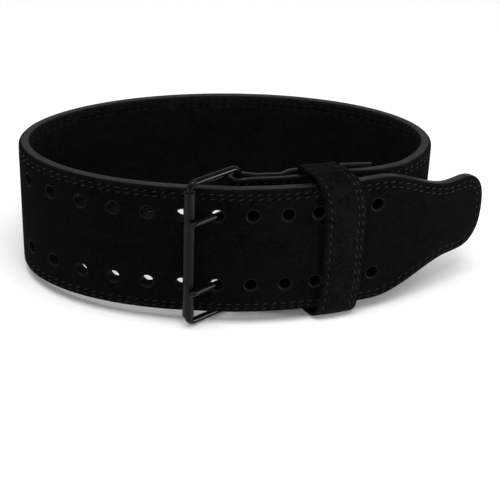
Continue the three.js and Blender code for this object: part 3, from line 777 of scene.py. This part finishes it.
def guides(name, points, edges, outward):
    """An object of bare points and edges in the belt's frame, which carry outward directions."""
    mesh = bpy.data.meshes.new(name)
    mesh.from_pydata([tuple(p) for p in lean(points)], edges, [])
    turned = np.asarray(outward) @ np.array(LAY.to_3x3()).T
    attribute = mesh.attributes.new("outward", "FLOAT_VECTOR", "POINT")
    attribute.data.foreach_set("vector", turned.astype(np.float32).ravel())
    piece = bpy.data.objects.new(name, mesh)
    bpy.context.scene.collection.objects.link(piece)
    return piece


def sew(name, lines, slot):
    """Makes the stitches along lines, each given as points and outward directions, as one piece."""
    edges, first = [], 0
    for line, _ in lines:
        edges += [(first + i, first + i + 1) for i in range(len(line) - 1)]
        first += len(line)
    points, outward = (np.concatenate(column) for column in zip(*lines))
    piece = guides(name, points, edges, outward)
    sizes = bpy.context.scene.belt_stitches
    values = {
        "Stitch Pitch": sizes.pitch,
        "Stitch Length": sizes.length,
        "Thread Thickness": sizes.thread,
        "Slant": sizes.slant,
        "Unevenness": sizes.unevenness,
        "Seed": sizes.seed,
        "Material": bpy.data.materials.get("waxed_polyester_thread") or waxed_thread(),
    }
    run_tree(piece, bpy.data.node_groups.get("stitches") or stitch_tree(), values)
    declare(piece, slot)


# The strap


def face_drop(distance, radius, rows, groove):
    """How far a face lies below the strap's full thickness at a distance from the edge."""
    inside = np.clip(radius - distance, 0, radius)
    drop = radius - np.sqrt(radius**2 - inside**2)
    for row in rows:
        drop = drop + groove * np.exp(-(((distance - row) / GROOVE_REACH) ** 2))
    return drop


def strap_lengths():
    """Where the strap's rings stand: closer round the fold, at the flap's end and at the tip."""
    curving = np.linalg.norm(np.gradient(STRAP.ahead, STRAP.lengths, axis=0), axis=1)
    turns = np.linspace(0, math.pi / 2, 5)
    flap = FLAP_END_RADIUS * (1 - np.cos(turns))
    tip = STRAP.length - TONGUE_TIP_LENGTH * np.linspace(1, 0, 40) ** TIP_CROWDING
    lengths, place = list(flap), flap[-1]
    while place < tip[0] - 1 * MM:
        bend = np.interp(place, STRAP.lengths, curving)
        place += min(RING_STEP, RING_TURN / max(bend, 1e-6))
        lengths.append(place)
    return np.array(lengths[:-1] + list(tip[:-1]) + [STRAP.length - 0.05 * MM])


def ring_heights(width, radius):
    """Heights across a face from one edge to the other, close together at the edges and the seams."""
    arc = radius * (1 - np.cos(np.linspace(0, math.pi / 2, 6)))
    side = np.concatenate([arc, SEAM_HEIGHTS])
    side = side * np.minimum(1, width * 0.8 / side[-1])
    middle = np.linspace(width - side[-1], -(width - side[-1]), 24)[1:-1]
    return np.concatenate([width - side, middle, -(width - side)[::-1]])


def strap_mesh(suede, inner_painted_paler, paint, sizes):
    """The strap's skin, as rings along its length, with a map of length and distance from the edge."""
    lengths = strap_lengths()
    widths = half_width(STRAP.length - lengths)
    rings, marks = [], []
    for point, out, thick, width, length in zip(*STRAP.at(lengths), widths, lengths):
        radius = min(EDGE_RADIUS, thick / 2 * EDGE_SHARE)
        heights = ring_heights(width, radius)
        distance = edge_distance(np.stack([np.full_like(heights, length), heights], axis=1))
        offset = thick / 2 - face_drop(distance, radius, (sizes.first_row, sizes.second_row), sizes.groove)
        crown = np.array([0.35, -0.35]) * max(thick / 2 - radius, 0.5 * MM)
        outer = np.stack([offset, heights], axis=1)
        lower = np.stack([crown, np.full(2, -width)], axis=1)
        inner = np.stack([-offset, heights], axis=1)[::-1]
        upper = np.stack([-crown, np.full(2, width)], axis=1)
        ring = np.concatenate([outer, lower, inner, upper])
        rings.append(np.column_stack([point + out * ring[:, :1], HALF_WIDTH + ring[:, 1]]))
        edge = np.zeros(2)
        inset = np.concatenate([distance, edge, distance[::-1], edge])
        marks.append(np.column_stack([np.full(len(ring), length), inset]))
    count = len(rings[0])
    faces = ring_faces(len(rings), count, closed=False)
    piece = new_piece("strap_leather", lean(np.concatenate(rings)), faces, suede)
    mark = np.concatenate(marks)
    order = np.empty(len(piece.data.loops), dtype=np.int32)
    piece.data.loops.foreach_get("vertex_index", order)
    layer = piece.data.uv_layers.new(name="strap")
    layer.data.foreach_set("uv", mark[order].astype(np.float32).ravel())
    piece.data.materials.append(paint)
    piece.data.materials.append(inner_painted_paler)
    for face in piece.data.polygons:
        corners = list(face.vertices)
        if mark[corners, 1].mean() < PAINT_REACH:
            face.material_index = 1
        # Faces of the inner side take the suede that is painted paler, a painted fill light against the
        # outer wall's shade
        elif min(corner % count for corner in corners) > count // 2:
            face.material_index = 2
    return piece


def turned_cutter(point, out, height, profile, sides):
    """A cutter turned about a line through the strap, from radii and levels outward: points and counts."""
    turns = np.arange(sides) * math.tau / sides
    ahead = np.array([-out[1], out[0]])
    rings = []
    for radius, level in profile:
        flat = point + out * level + np.outer(radius * np.cos(turns), ahead)
        rings.append(np.column_stack([flat, height + radius * np.sin(turns)]))
    return np.concatenate(rings), len(profile), sides


def hole_cutter(column, height):
    """One prong hole's cutter: a bore whose pressed rim curves out to both faces."""
    bore, rim = HOLE_DIAMETER / 2, HOLE_RIM_DIAMETER / 2
    turns = np.linspace(0, math.pi / 2, 7)
    radii = rim - (rim - bore) * np.sin(turns)
    top = np.column_stack([radii, HALF_STRAP - HOLE_RIM_DEPTH * (1 - np.cos(turns))])
    mouth, above = rim + 0.15 * MM, HALF_STRAP + 0.6 * MM
    profile = np.concatenate([[(mouth, above)], top, (top * (1, -1))[::-1], [(mouth, -above)]])
    point, out, _ = STRAP.at(np.array([STRAP.length - hole_distance(column)]))
    return turned_cutter(point[0], out[0], height + HOLE_ROW_RISE, profile, HOLE_SIDES)


def bore_cutter(place, out, grip, height):
    """One rivet's bore through both plies."""
    radius = RIVET_SHANK_DIAMETER / 2 + CLEARANCE
    return turned_cutter(place, out, height, ((radius, 2 * MM), (radius, -grip - 2 * MM)), BORE_SIDES)


def slot_cutter(height):
    """One prong slot's cutter through the fold, with round ends."""
    start, end = REAR_BAR_RUN - FOLD_RADIUS - FOLD_PLY, REAR_BAR_RUN + SLOT_REACH
    half = SLOT_WIDTH / 2
    turns = np.linspace(-math.pi / 2, math.pi / 2, 9)
    runs = np.concatenate([[start, end - half], end - half + half * np.cos(turns), [end - half, start]])
    highs = np.concatenate([[-half, -half], half * np.sin(turns), [half, half]])
    rings = []
    for depth in (REAR_BAR_DEPTH - 2 * FOLD_RADIUS, REAR_BAR_DEPTH + 2 * FOLD_RADIUS):
        flat = np.array([on_tail(run, depth) for run in runs])
        rings.append(np.column_stack([flat, height + highs]))
    return np.concatenate(rings), 2, len(runs)


def add_cutter(name, groups, material):
    """One object of separate closed cutters."""
    points, faces, first = [], [], 0
    for ring_points, rings, count in groups:
        faces += [tuple(first + i for i in face) for face in ring_faces(rings, count, closed=False)]
        points.append(lean(ring_points))
        first += len(ring_points)
    return new_piece(name, np.concatenate(points), faces, material)


def cut(piece, cutter):
    """Cuts a cutter out of a piece and removes it."""
    modifier = piece.modifiers.new("cut", "BOOLEAN")
    modifier.operation = "DIFFERENCE"
    modifier.solver = "EXACT"
    modifier.material_mode = "TRANSFER"
    modifier.object = cutter
    apply_modifier(piece)
    mesh = cutter.data
    bpy.data.objects.remove(cutter)
    bpy.data.meshes.remove(mesh)


def row_heights(spacing):
    """Heights of an upper and a lower row, a spacing apart."""
    return HALF_WIDTH + spacing / 2, HALF_WIDTH - spacing / 2


def rivet_places():
    """Each rivet's face point, outward direction, grip and height."""
    places = []
    step = 1 * MM
    for run in RIVET_RUNS:
        face, body, slot, flap = lap_at(run)
        ahead = on_tail(run + step, lap_at(run + step)[0]) - on_tail(run - step, lap_at(run - step)[0])
        ahead /= np.linalg.norm(ahead)
        outward = np.array([ahead[1], -ahead[0]])
        for row in (1, 0, -1):
            high = HALF_WIDTH + row * RIVET_ROW_SPACING
            places.append((on_tail(run, face), outward, body + slot + flap, high))
    return places


def seam_lines(rows, offset):
    """Seams along both edges and round the tongue, on both faces."""
    lines = []
    first, last = SEAM_START, STRAP.length - TONGUE_SHOULDER - PAST_SHOULDER
    lengths = np.arange(first, last, 1.5 * MM)
    for row in rows:
        tongue = outline(row)
        tongue = tongue[tongue[:, 0] > last]
        half = HALF_WIDTH - row
        upper = np.column_stack([lengths, np.full_like(lengths, half)])
        lower = np.column_stack([lengths[::-1], np.full_like(lengths, -half)])
        flat = np.concatenate([upper, tongue, lower])
        point, out, thickness = STRAP.at(flat[:, 0])
        for side, deeper in ((1, 0), (-1, INNER_STITCH_PULL)):
            level = (thickness / 2 - offset - deeper)[:, None] * side
            line = np.column_stack([point + out * level, HALF_WIDTH + flat[:, 1]])
            lines.append((line, np.column_stack([out * side, np.zeros(len(out))])))
    return lines


def length(name, description, value, least=0.0):
    """A length property with its default, in metres."""
    return FloatProperty(name=name, description=description, default=value, min=least, unit="LENGTH")


def angle(name, description, degrees):
    """An angle property with its default."""
    return FloatProperty(
        name=name, description=description, default=math.radians(degrees), subtype="ANGLE"
    )


def power(name, description, watts):
    """A lamp's power with its default."""
    return FloatProperty(name=name, description=description, default=watts, min=0, unit="POWER")


def colour(name, description, value):
    """A colour property whose default is an sRGB hex value."""
    return FloatVectorProperty(
        name=name, description=description, subtype="COLOR_GAMMA", size=3, min=0, max=1,
        default=[int(value[i : i + 2], 16) / 255 for i in (1, 3, 5)],
    )


class BeltStrapSizes(bpy.types.PropertyGroup):
    """Sizes of the strap's surface."""

    first_row: length("First seam", "Distance of the outer seam from the edge", 3.8 * MM, 2 * MM)
    second_row: length("Second seam", "Distance of the inner seam from the edge", 7.5 * MM, 4 * MM)
    groove: length("Seam groove", "How deep the stitches pull the leather in", 0.6 * MM)


class BeltStitchSizes(bpy.types.PropertyGroup):
    """Sizes of the stitches."""

    pitch: length("Stitch pitch", "From one stitch to the next", 6.7 * MM, 2 * MM)
    length: length("Stitch length", "What shows of one stitch", 4.2 * MM, 1 * MM)
    thread: length("Thread", "Thickness of the thread", 0.9 * MM, 0.2 * MM)
    slant: angle("Slant", "How far each stitch turns from the seam", 17)
    unevenness: angle("Unevenness", "How far single stitches turn from the others", 9)
    seed: IntProperty(name="Seed", description="Seed of the stitches' unevenness", default=3)


class BeltColours(bpy.types.PropertyGroup):
    """Colours of the leather, the thread and the metal."""

    suede_dark: colour("Suede, dark", "Nap that lies away from the light", "#020202")
    suede: colour("Suede", "The suede's own colour", "#050505")
    suede_pale: colour("Suede, pale", "Nap that lies towards the light", "#080808")
    suede_fibre: colour("Suede fibres", "Single pale fibres in the nap", "#0f0f0f")
    keeper_dark: colour("Keeper suede, dark", "Low places of the keeper's nap", "#020202")
    keeper: colour("Keeper suede", "Paler nap of the keeper", "#070707")
    # The keeper's fibre tone is also the palest tone of the inner side's suede, which is painted paler as
    # fill light against its shade
    keeper_fibre: colour("Keeper fibres", "Pale specks of the keeper's and the inner side's nap", "#121212")
    hole: colour("Hole rims", "Burnished leather round the holes", "#060606")
    edge_dark: colour("Edge paint, dark", "Low places of the edge paint", "#050505")
    edge: colour("Edge paint", "The painted edges", "#111111")
    edge_pale: colour("Edge paint, rubbed", "Rubbed places of the edge paint", "#222222")
    thread_dark: colour("Thread, dark", "Between the thread's strands", "#060606")
    thread: colour("Thread", "The waxed thread", "#141414")
    steel_dark: colour("Steel, dark", "Thick places of the oxide", "#090909")
    steel: colour("Steel", "The oxide finish", "#161617")
    nickel_dark: colour("Nickel, dull", "Rubbed places of the nickel", "#a9aaa6")
    nickel: colour("Nickel", "The nickel plate", "#cfcfca")


class BELT_OT_strap(bpy.types.Operator):
    """Make the strap, with its rounded edges, seam grooves, prong holes, slots and bores"""

    bl_idname = "belt.strap"
    bl_label = "Strap"

    def execute(self, context):
        burnished = burnished_leather()
        suede = black_suede("black_suede", ("suede_dark", "suede", "suede_pale", "suede_fibre"))
        # Painted fill light: the inner side gets paler tones than the outer side, which lighten it where
        # the outer wall shades it. The suede itself isn't paler there.
        paler = ("suede", "suede_pale", "suede_fibre", "keeper_fibre")
        inner_painted_paler = black_suede("black_suede_inside", paler)
        piece = strap_mesh(suede, inner_painted_paler, painted_edge(), context.scene.belt_strap)
        piece.data.materials.append(burnished)
        rows = row_heights(HOLE_ROW_SPACING)
        cutters = [hole_cutter(column, row) for column in range(1, HOLE_COLUMNS + 1) for row in rows]
        cutters += [slot_cutter(row) for row in rows]
        cutters += [bore_cutter(*place) for place in rivet_places()]
        cut(piece, add_cutter("cutter", cutters, burnished))
        piece.data.set_sharp_from_angle(angle=math.radians(38))
        declare(piece, "suede_leather", "strap")
        return {"FINISHED"}


class BELT_OT_stitches(bpy.types.Operator):
    """Sew both seams along the strap's edges and round its tongue"""

    bl_idname = "belt.stitches"
    bl_label = "Strap Stitches"

    def execute(self, context):
        sizes = context.scene.belt_strap
        sunk = sizes.groove - context.scene.belt_stitches.thread * THREAD_RISE
        sew("strap_stitches", seam_lines((sizes.first_row, sizes.second_row), sunk), "suede_leather")
        return {"FINISHED"}


# The keeper


def keeper_path():
    """The keeper's way round the strap: depth, height and inward direction of its outer side."""
    front, back = -CLEARANCE - KEEPER_WALL, KEEPER_BACK + KEEPER_WALL
    middle, deep = (front + back) / 2, (back - front) / 2 - KEEPER_CORNER
    path = []
    for across, up, start in CORNERS:
        for degrees in np.arange(0, 90.1, 6):
            turn = math.radians(start + degrees)
            out = np.array([math.cos(turn), math.sin(turn)])
            centre = np.array([middle + across * deep, up * (KEEPER_HIGH - KEEPER_CORNER)])
            path.append((*(centre + KEEPER_CORNER * out), *-out))
    path = np.array(path)
    # Straight stretches get points of their own
    filled = []
    for here, there in zip(path, np.roll(path, -1, axis=0)):
        count = max(1, round(float(np.hypot(*(there - here)[:2])) / (2 * MM)))
        filled += [mix(here, there, i / count) for i in range(count)]
    return np.array(filled)


def keeper_point(place, share, inset):
    """A point of the keeper at a share of its half width, an inset in from its outer side."""
    depth, high = place[0] + inset * place[2], place[1] + inset * place[3]
    flat = on_tail(keeper_run(depth, high) + share * KEEPER_WIDTH / 2, depth)
    return np.array([*flat, HALF_WIDTH + high])


def keeper_section():
    """The keeper's section, as shares of its half width and insets from its outer side."""
    half = KEEPER_WIDTH / 2
    arc = KEEPER_EDGE_RADIUS * (1 - np.cos(np.linspace(0, math.pi / 2, 5)))
    side = np.concatenate([half - arc, [half - 2.2 * MM]])
    inner = np.linspace(half - 2.9 * MM, -(half - 2.9 * MM), 27)
    widths = np.concatenate([side, inner, -side[::-1]])
    groove = sum(
        KEEPER_GROOVE * np.exp(-(((widths - seam * half) / GROOVE_REACH) ** 2)) for seam in KEEPER_SEAMS
    )
    drop = face_drop(half - np.abs(widths), KEEPER_EDGE_RADIUS, (), 0)
    outside = np.column_stack([widths / half, drop + groove])
    inside = np.column_stack([widths / half, KEEPER_WALL - drop])[::-1]
    return np.concatenate([outside, inside])


class BELT_OT_keeper(bpy.types.Operator):
    """Make the keeper, a sewn leather ring, with its seams"""

    bl_idname = "belt.keeper"
    bl_label = "Keeper"

    def execute(self, context):
        path, section = keeper_path(), keeper_section()
        points = [keeper_point(place, share, inset) for place in path for share, inset in section]
        faces = ring_faces(len(path), len(section), closed=True)
        piece = new_piece("keeper_leather", lean(points), faces, keeper_suede(), 45)
        declare(piece, "keeper_leather", "keeper")
        sunk = KEEPER_GROOVE - context.scene.belt_stitches.thread * THREAD_RISE
        closed = np.concatenate([path, path[:1]])
        lines = []
        for seam in KEEPER_SEAMS:
            line = np.array([keeper_point(place, seam, sunk) for place in closed])
            out = np.array([keeper_point(place, seam, sunk - 1 * MM) for place in closed]) - line
            lines.append((line, out / np.linalg.norm(out, axis=1, keepdims=True)))
        sew("keeper_stitches", lines, "keeper_leather")
        return {"FINISHED"}


# The buckle


def rod_rings(path, radii, across, side, sides):
    """Rings of a round rod, each in the plane of its own direction across and of the side direction."""
    turns = np.arange(sides) * math.tau / sides
    rings = [
        point + radius * (np.outer(np.cos(turns), out) + np.outer(np.sin(turns), side))
        for point, radius, out in zip(path, radii, across)
    ]
    return lean(np.concatenate(rings))


def frame_rings():
    """The frame, an upright rectangle with bent corners through both bars."""
    span = float(np.linalg.norm(BAR_LINE)) / 2 - FRAME_BEND
    high = HALF_WIDTH + FRAME_PLAY + ROD_RADIUS - FRAME_BEND
    direction = BAR_LINE / np.linalg.norm(BAR_LINE)
    middle = (REAR_BAR + FRONT_BAR) / 2
    path, outs = [], []
    for across, up, start in CORNERS:
        centre = np.array([*(middle + direction * across * span), HALF_WIDTH + up * high])
        for turn in np.radians(start + np.linspace(0, 90, 11)):
            out = np.array([*(direction * math.cos(turn)), math.sin(turn)])
            path.append(centre + out * FRAME_BEND)
            outs.append(out)
    side = (direction[1], -direction[0], 0)
    return rod_rings(path, [ROD_RADIUS] * len(path), outs, side, ROD_SIDES), len(path)


def prong_rings(height):
    """One prong: an eye, the shank, a tip over the roller and a rounded nose."""
    start = math.atan2(PRONG_SIDE[1], PRONG_SIDE[0])
    angles = start + np.radians(np.linspace(PRONG_EYE_TURN, 0, 36))
    eye = REAR_BAR + EYE_RADIUS * np.column_stack([np.cos(angles), np.sin(angles)])
    shank = [mix(PRONG_START, PRONG_REST, share) for share in np.linspace(0.06, 0.97, 14)]
    over = np.linspace(0, 1, 8)[1:, None]
    hook = PRONG_REST + PRONG_LINE * PRONG_OVERHANG * over - PRONG_SIDE * PRONG_HOOK * over**2
    flat = np.concatenate([eye, shank, [PRONG_REST], hook])
    tip = np.clip((np.arange(len(flat)) - (len(flat) - 12)) / 11, 0, 1)
    radii = PRONG_RADIUS * (1 - PRONG_TAPER * tip**1.5)
    nose = [flat[-1] + (flat[-1] - flat[-2]) * share for share in (0.35, 0.6)]
    flat = np.concatenate([flat, nose])
    radii = np.concatenate([radii, radii[-1] * np.array([0.82, 0.45])])
    path = np.column_stack([flat, np.full(len(flat), height)])
    ahead = np.gradient(path, axis=0)
    ahead /= np.linalg.norm(ahead, axis=1, keepdims=True)
    side = (0, 0, 1)
    return rod_rings(path, radii, np.cross(ahead, side), side, PRONG_SIDES), len(path)


def sleeve_rings():
    """The roller, a rolled sleeve with a rounded mouth at both ends."""
    bore, outer, half = ROD_RADIUS + CLEARANCE, ROLLER_RADIUS, HALF_WIDTH + ROLLER_OVERHANG
    turns = np.linspace(0, math.pi / 2, 5)
    radii = outer - ROLLER_ROUNDING * (1 - np.sin(turns))
    arc = np.column_stack([radii, half - ROLLER_ROUNDING * (1 - np.cos(turns))])
    profile = np.concatenate([[(bore, half)], arc, (arc * (1, -1))[::-1], [(bore, -half)]])
    points = revolve(profile, ROLLER_SIDES, tuple(FRONT_BAR)) + (0, 0, HALF_WIDTH)
    return lean(points), len(profile)


class BELT_OT_buckle(bpy.types.Operator):
    """Make the buckle: bent frame, roller and two prongs"""

    bl_idname = "belt.buckle"
    bl_label = "Buckle"

    def execute(self, context):
        steel = black_oxide_steel("black_oxide_rod", 0.24, 0.36)
        dull_steel = black_oxide_steel("black_oxide_sleeve", 0.36, 0.46)
        upper, lower = row_heights(HOLE_ROW_SPACING)
        for name, node, made, sides, closed, material in (
            ("buckle_rod", "buckle_frame", frame_rings(), ROD_SIDES, True, steel),
            ("buckle_sleeve", "buckle_roller", sleeve_rings(), ROLLER_SIDES, True, dull_steel),
            ("tongue_prong_upper", "prong_upper", prong_rings(upper), PRONG_SIDES, False, dull_steel),
            ("tongue_prong_lower", "prong_lower", prong_rings(lower), PRONG_SIDES, False, dull_steel),
        ):
            points, rings = made
            piece = new_piece(name, points, ring_faces(rings, sides, closed), material)
            declare(piece, "black_steel", node)
        return {"FINISHED"}


# The rivets


def rivet_tree():
    """Sets a domed cap, a shank and a back cap at each point, along its outward direction."""
    sockets = {"Cap": "Object", "Back": "Object", "Shank Diameter": "Float", "Material": "Material"}
    tree, given = new_tree("rivets", sockets)
    outward, grip = (
        add(tree, "GeometryNodeInputNamedAttribute", {"Name": name}, data_type=kind)["Attribute"]
        for name, kind in (("outward", "FLOAT_VECTOR"), ("grip", "FLOAT"))
    )
    turned = add(tree, "FunctionNodeAlignRotationToVector", {"Vector": outward}, axis="Z")[0]
    through = add(tree, "ShaderNodeVectorMath", {0: outward, "Scale": grip}, operation="SCALE")[0]
    behind, halfway = (
        add(tree, "ShaderNodeVectorMath", {0: through, "Scale": share}, operation="SCALE")[0]
        for share in (-1, -0.5)
    )
    radius = add(tree, "ShaderNodeMath", {0: given["Shank Diameter"], 1: 0.5}, operation="MULTIPLY")[0]
    size = {"Vertices": 20, "Radius": radius, "Depth": 1}
    shank = add(tree, "GeometryNodeMeshCylinder", size)["Mesh"]
    cap, back = (
        add(tree, "GeometryNodeObjectInfo", {"Object": given[name]})["Geometry"]
        for name in ("Cap", "Back")
    )
    stretch = {"Scale": add(tree, "ShaderNodeCombineXYZ", {"X": 1, "Y": 1, "Z": grip})[0]}
    joined = tree.nodes.new("GeometryNodeJoinGeometry")
    for shape, offset, scale in ((cap, (0, 0, 0), {}), (back, behind, {}), (shank, halfway, stretch)):
        moved = {"Geometry": given["Geometry"], "Offset": offset}
        points = add(tree, "GeometryNodeSetPosition", moved)[0]
        links = {"Points": points, "Instance": shape, "Rotation": turned, **scale}
        tree.links.new(add(tree, "GeometryNodeInstanceOnPoints", links)[0], joined.inputs[0])
    return end_tree(tree, joined.outputs[0], given["Material"])


def turned_cap(name, profile, material):
    """A closed body turned about Z, with a small flat at both ends of its profile."""
    faces = ring_faces(len(profile), CAP_SIDES, closed=False)
    return new_piece(name, revolve(profile, CAP_SIDES), faces, material, 50)


def front_profile():
    """The domed cap, from its flat back over the lip to the top of the dome."""
    cap, lip = RIVET_CAP_DIAMETER / 2, RIVET_CAP_LIP
    dome = [
        (cap * 0.985 * math.cos(turn), CLEARANCE + lip + (RIVET_CAP_HEIGHT - lip) * math.sin(turn))
        for turn in np.linspace(0.12, math.pi / 2 - 0.05, 10)
    ]
    rim = [(cap - 0.25 * MM, CLEARANCE), (cap, CLEARANCE + 0.25 * MM), (cap, CLEARANCE + lip * 0.8)]
    return [(0.3 * MM, CLEARANCE), *rim, *dome]


def back_profile():
    """The back cap: flat, with a low round edge and a shallow dish in its middle."""
    back, thick = RIVET_BACK_DIAMETER / 2, RIVET_BACK_HEIGHT
    return [
        (0.3 * MM, -CLEARANCE - thick * 0.9),
        (back * 0.35, -CLEARANCE - thick * 0.9),
        (back * 0.5, -CLEARANCE - thick),
        (back * 0.86, -CLEARANCE - thick),
        (back * 0.97, -CLEARANCE - thick * 0.6),
        (back, -CLEARANCE - 0.1 * MM),
        (back, -CLEARANCE),
        (0.3 * MM, -CLEARANCE),
    ]


class BELT_OT_rivets(bpy.types.Operator):
    """Make the six domed rivets that close the fold"""

    bl_idname = "belt.rivets"
    bl_label = "Rivets"

    def execute(self, context):
        nickel = polished_nickel()
        front = turned_cap("cap", front_profile(), nickel)
        rear = turned_cap("back", back_profile(), nickel)
        places = rivet_places()
        points = [(*place, height) for place, _, _, height in places]
        piece = guides("rivets", points, [], [(*out, 0) for _, out, _, _ in places])
        grips = piece.data.attributes.new("grip", "FLOAT", "POINT")
        grips.data.foreach_set("value", [grip for _, _, grip, _ in places])
        values = {
            "Cap": front,
            "Back": rear,
            "Shank Diameter": RIVET_SHANK_DIAMETER,
            "Material": nickel,
        }
        run_tree(piece, rivet_tree(), values)
        for helper in (front, rear):
            bpy.data.objects.remove(helper)
        piece.data.set_sharp_from_angle(angle=math.radians(50))
        nodes = [f"rivet_{column}_{row}" for column in (1, 2) for row in ("upper", "middle", "lower")]
        declare(piece, "nickel", *nodes)
        return {"FINISHED"}


# The stage


class BeltStage(bpy.types.PropertyGroup):
    """The camera and the light."""

    azimuth: angle("Azimuth", "The camera's turn round the belt, from in front", -4.59)
    elevation: angle("Elevation", "The camera's height above the belt's own level", 28.23)
    roll: angle("Roll", "The camera's turn about its own line of sight", 1.62)
    distance: length("Distance", "From the camera to the middle of the belt", 1.01586)
    lens: FloatProperty(
        name="Focal length", description="The camera's focal length", default=95.36, unit="CAMERA"
    )
    light: FloatProperty(
        name="Light", description="Strength of the light all round", default=0.46, min=0
    )
    top: power("Top lamp", "Power of the soft lamp overhead", 16)
    side: power("Side lamp", "Power of the lamp on the right", 15)


def soft_light(name, place, aim, size, energy):
    """A large soft lamp that points at a place."""
    data = bpy.data.lights.new(name, "AREA")
    data.shape = "RECTANGLE"
    data.size, data.size_y = size
    data.energy = energy
    lamp = bpy.data.objects.new(name, data)
    lamp.location = place
    lamp.rotation_euler = (Vector(aim) - Vector(place)).to_track_quat("-Z", "Y").to_euler()
    bpy.context.scene.collection.objects.link(lamp)


def white_paper():
    """Matt white paper sweep."""
    material, tree, shader, place = new_material("white_paper")
    fibre = add(tree, "ShaderNodeTexNoise", {"Vector": place, "Scale": 1 / (6 * MM), "Detail": 2})["Fac"]
    paper = add(tree, "ShaderNodeMix", {0: fibre, 6: "#f8f8f8", 7: "#fcfcfc"}, data_type="RGBA")[2]
    feed(tree, shader, {"Base Color": paper, "Roughness": 0.9, "Specular IOR Level": 0.1})
    return material


class BELT_OT_stage(bpy.types.Operator):
    """Make the floor, the soft studio light and the camera"""

    bl_idname = "belt.stage"
    bl_label = "Stage"

    def execute(self, context):
        settings = context.scene.belt_stage
        mesh = bpy.data.meshes.new("floor")
        corners = [(x * FLOOR_REACH, y * FLOOR_REACH, 0) for x, y in ((-1, -1), (1, -1), (1, 1), (-1, 1))]
        mesh.from_pydata(corners, [], [(0, 1, 2, 3)])
        mesh.materials.append(white_paper())
        floor = bpy.data.objects.new("floor", mesh)
        context.scene.collection.objects.link(floor)
        world = bpy.data.worlds.new("studio")
        world.use_nodes = True
        light = {"Color": "#ffffff", "Strength": settings.light}
        feed(world.node_tree, world.node_tree.nodes["Background"], light)
        context.scene.world = world
        low = (0.16, 0.3)
        soft_light("top", (-0.1, -0.25, 1.3), (0, 0, 0.05), (1.2, 0.9), settings.top)
        soft_light("right", (1.25, -0.42, 0.18), (0.03, -0.05, 0.05), low, settings.side)
        soft_light("left", (-1.25, -0.55, 0.18), (-0.1, -0.05, 0.05), low, settings.side * LEFT_SHARE)
        context.scene.view_settings.view_transform = "Standard"
        self.camera(context, settings)
        return {"FINISHED"}

    def camera(self, context, settings):
        """The camera at the photograph's angle, leaned with the belt as it rests."""
        data = bpy.data.cameras.new("camera")
        data.lens = settings.lens
        data.sensor_width = 36
        data.shift_x, data.shift_y = CAMERA_SHIFT
        data.clip_start, data.clip_end = 0.05, 20
        flat = math.cos(settings.elevation)
        look = Vector(
            (
                -math.sin(settings.azimuth) * flat,
                math.cos(settings.azimuth) * flat,
                -math.sin(settings.elevation),
            )
        )
        turn = look.to_track_quat("-Z", "Y").to_matrix().to_4x4() @ Matrix.Rotation(settings.roll, 4, "Z")
        place = Matrix.Translation(CAMERA_TARGET - look * settings.distance)
        camera = bpy.data.objects.new("camera", data)
        camera.matrix_world = LAY @ place @ turn
        context.scene.collection.objects.link(camera)
        context.scene.camera = camera


class BELT_PT_panel(bpy.types.Panel):
    """The belt's pieces and their sizes"""

    bl_idname = "BELT_PT_panel"
    bl_label = "Belt"
    bl_space_type = "VIEW_3D"
    bl_region_type = "UI"
    bl_category = "Belt"

    def draw(self, context):
        layout = self.layout
        for operator in OPERATORS:
            layout.operator(operator.bl_idname)
        for key, group in GROUPS.items():
            for name in group.__annotations__:
                layout.prop(getattr(context.scene, key), name)


OPERATORS = (
    BELT_OT_stage,
    BELT_OT_strap,
    BELT_OT_stitches,
    BELT_OT_keeper,
    BELT_OT_buckle,
    BELT_OT_rivets,
)
GROUPS = {
    "belt_strap": BeltStrapSizes,
    "belt_stitches": BeltStitchSizes,
    "belt_colours": BeltColours,
    "belt_stage": BeltStage,
}


def register():
    for each in (*GROUPS.values(), *OPERATORS, BELT_PT_panel):
        bpy.utils.register_class(each)
    for key, group in GROUPS.items():
        setattr(bpy.types.Scene, key, PointerProperty(type=group))


def unregister():
    for key in GROUPS:
        delattr(bpy.types.Scene, key)
    for each in reversed((*GROUPS.values(), *OPERATORS, BELT_PT_panel)):
        bpy.utils.unregister_class(each)


def main():
    register()
    bpy.ops.belt.stage()
    bpy.ops.belt.strap()
    bpy.ops.belt.stitches()
    bpy.ops.belt.keeper()
    bpy.ops.belt.buckle()
    bpy.ops.belt.rivets()


if __name__ == "__main__":
    main()
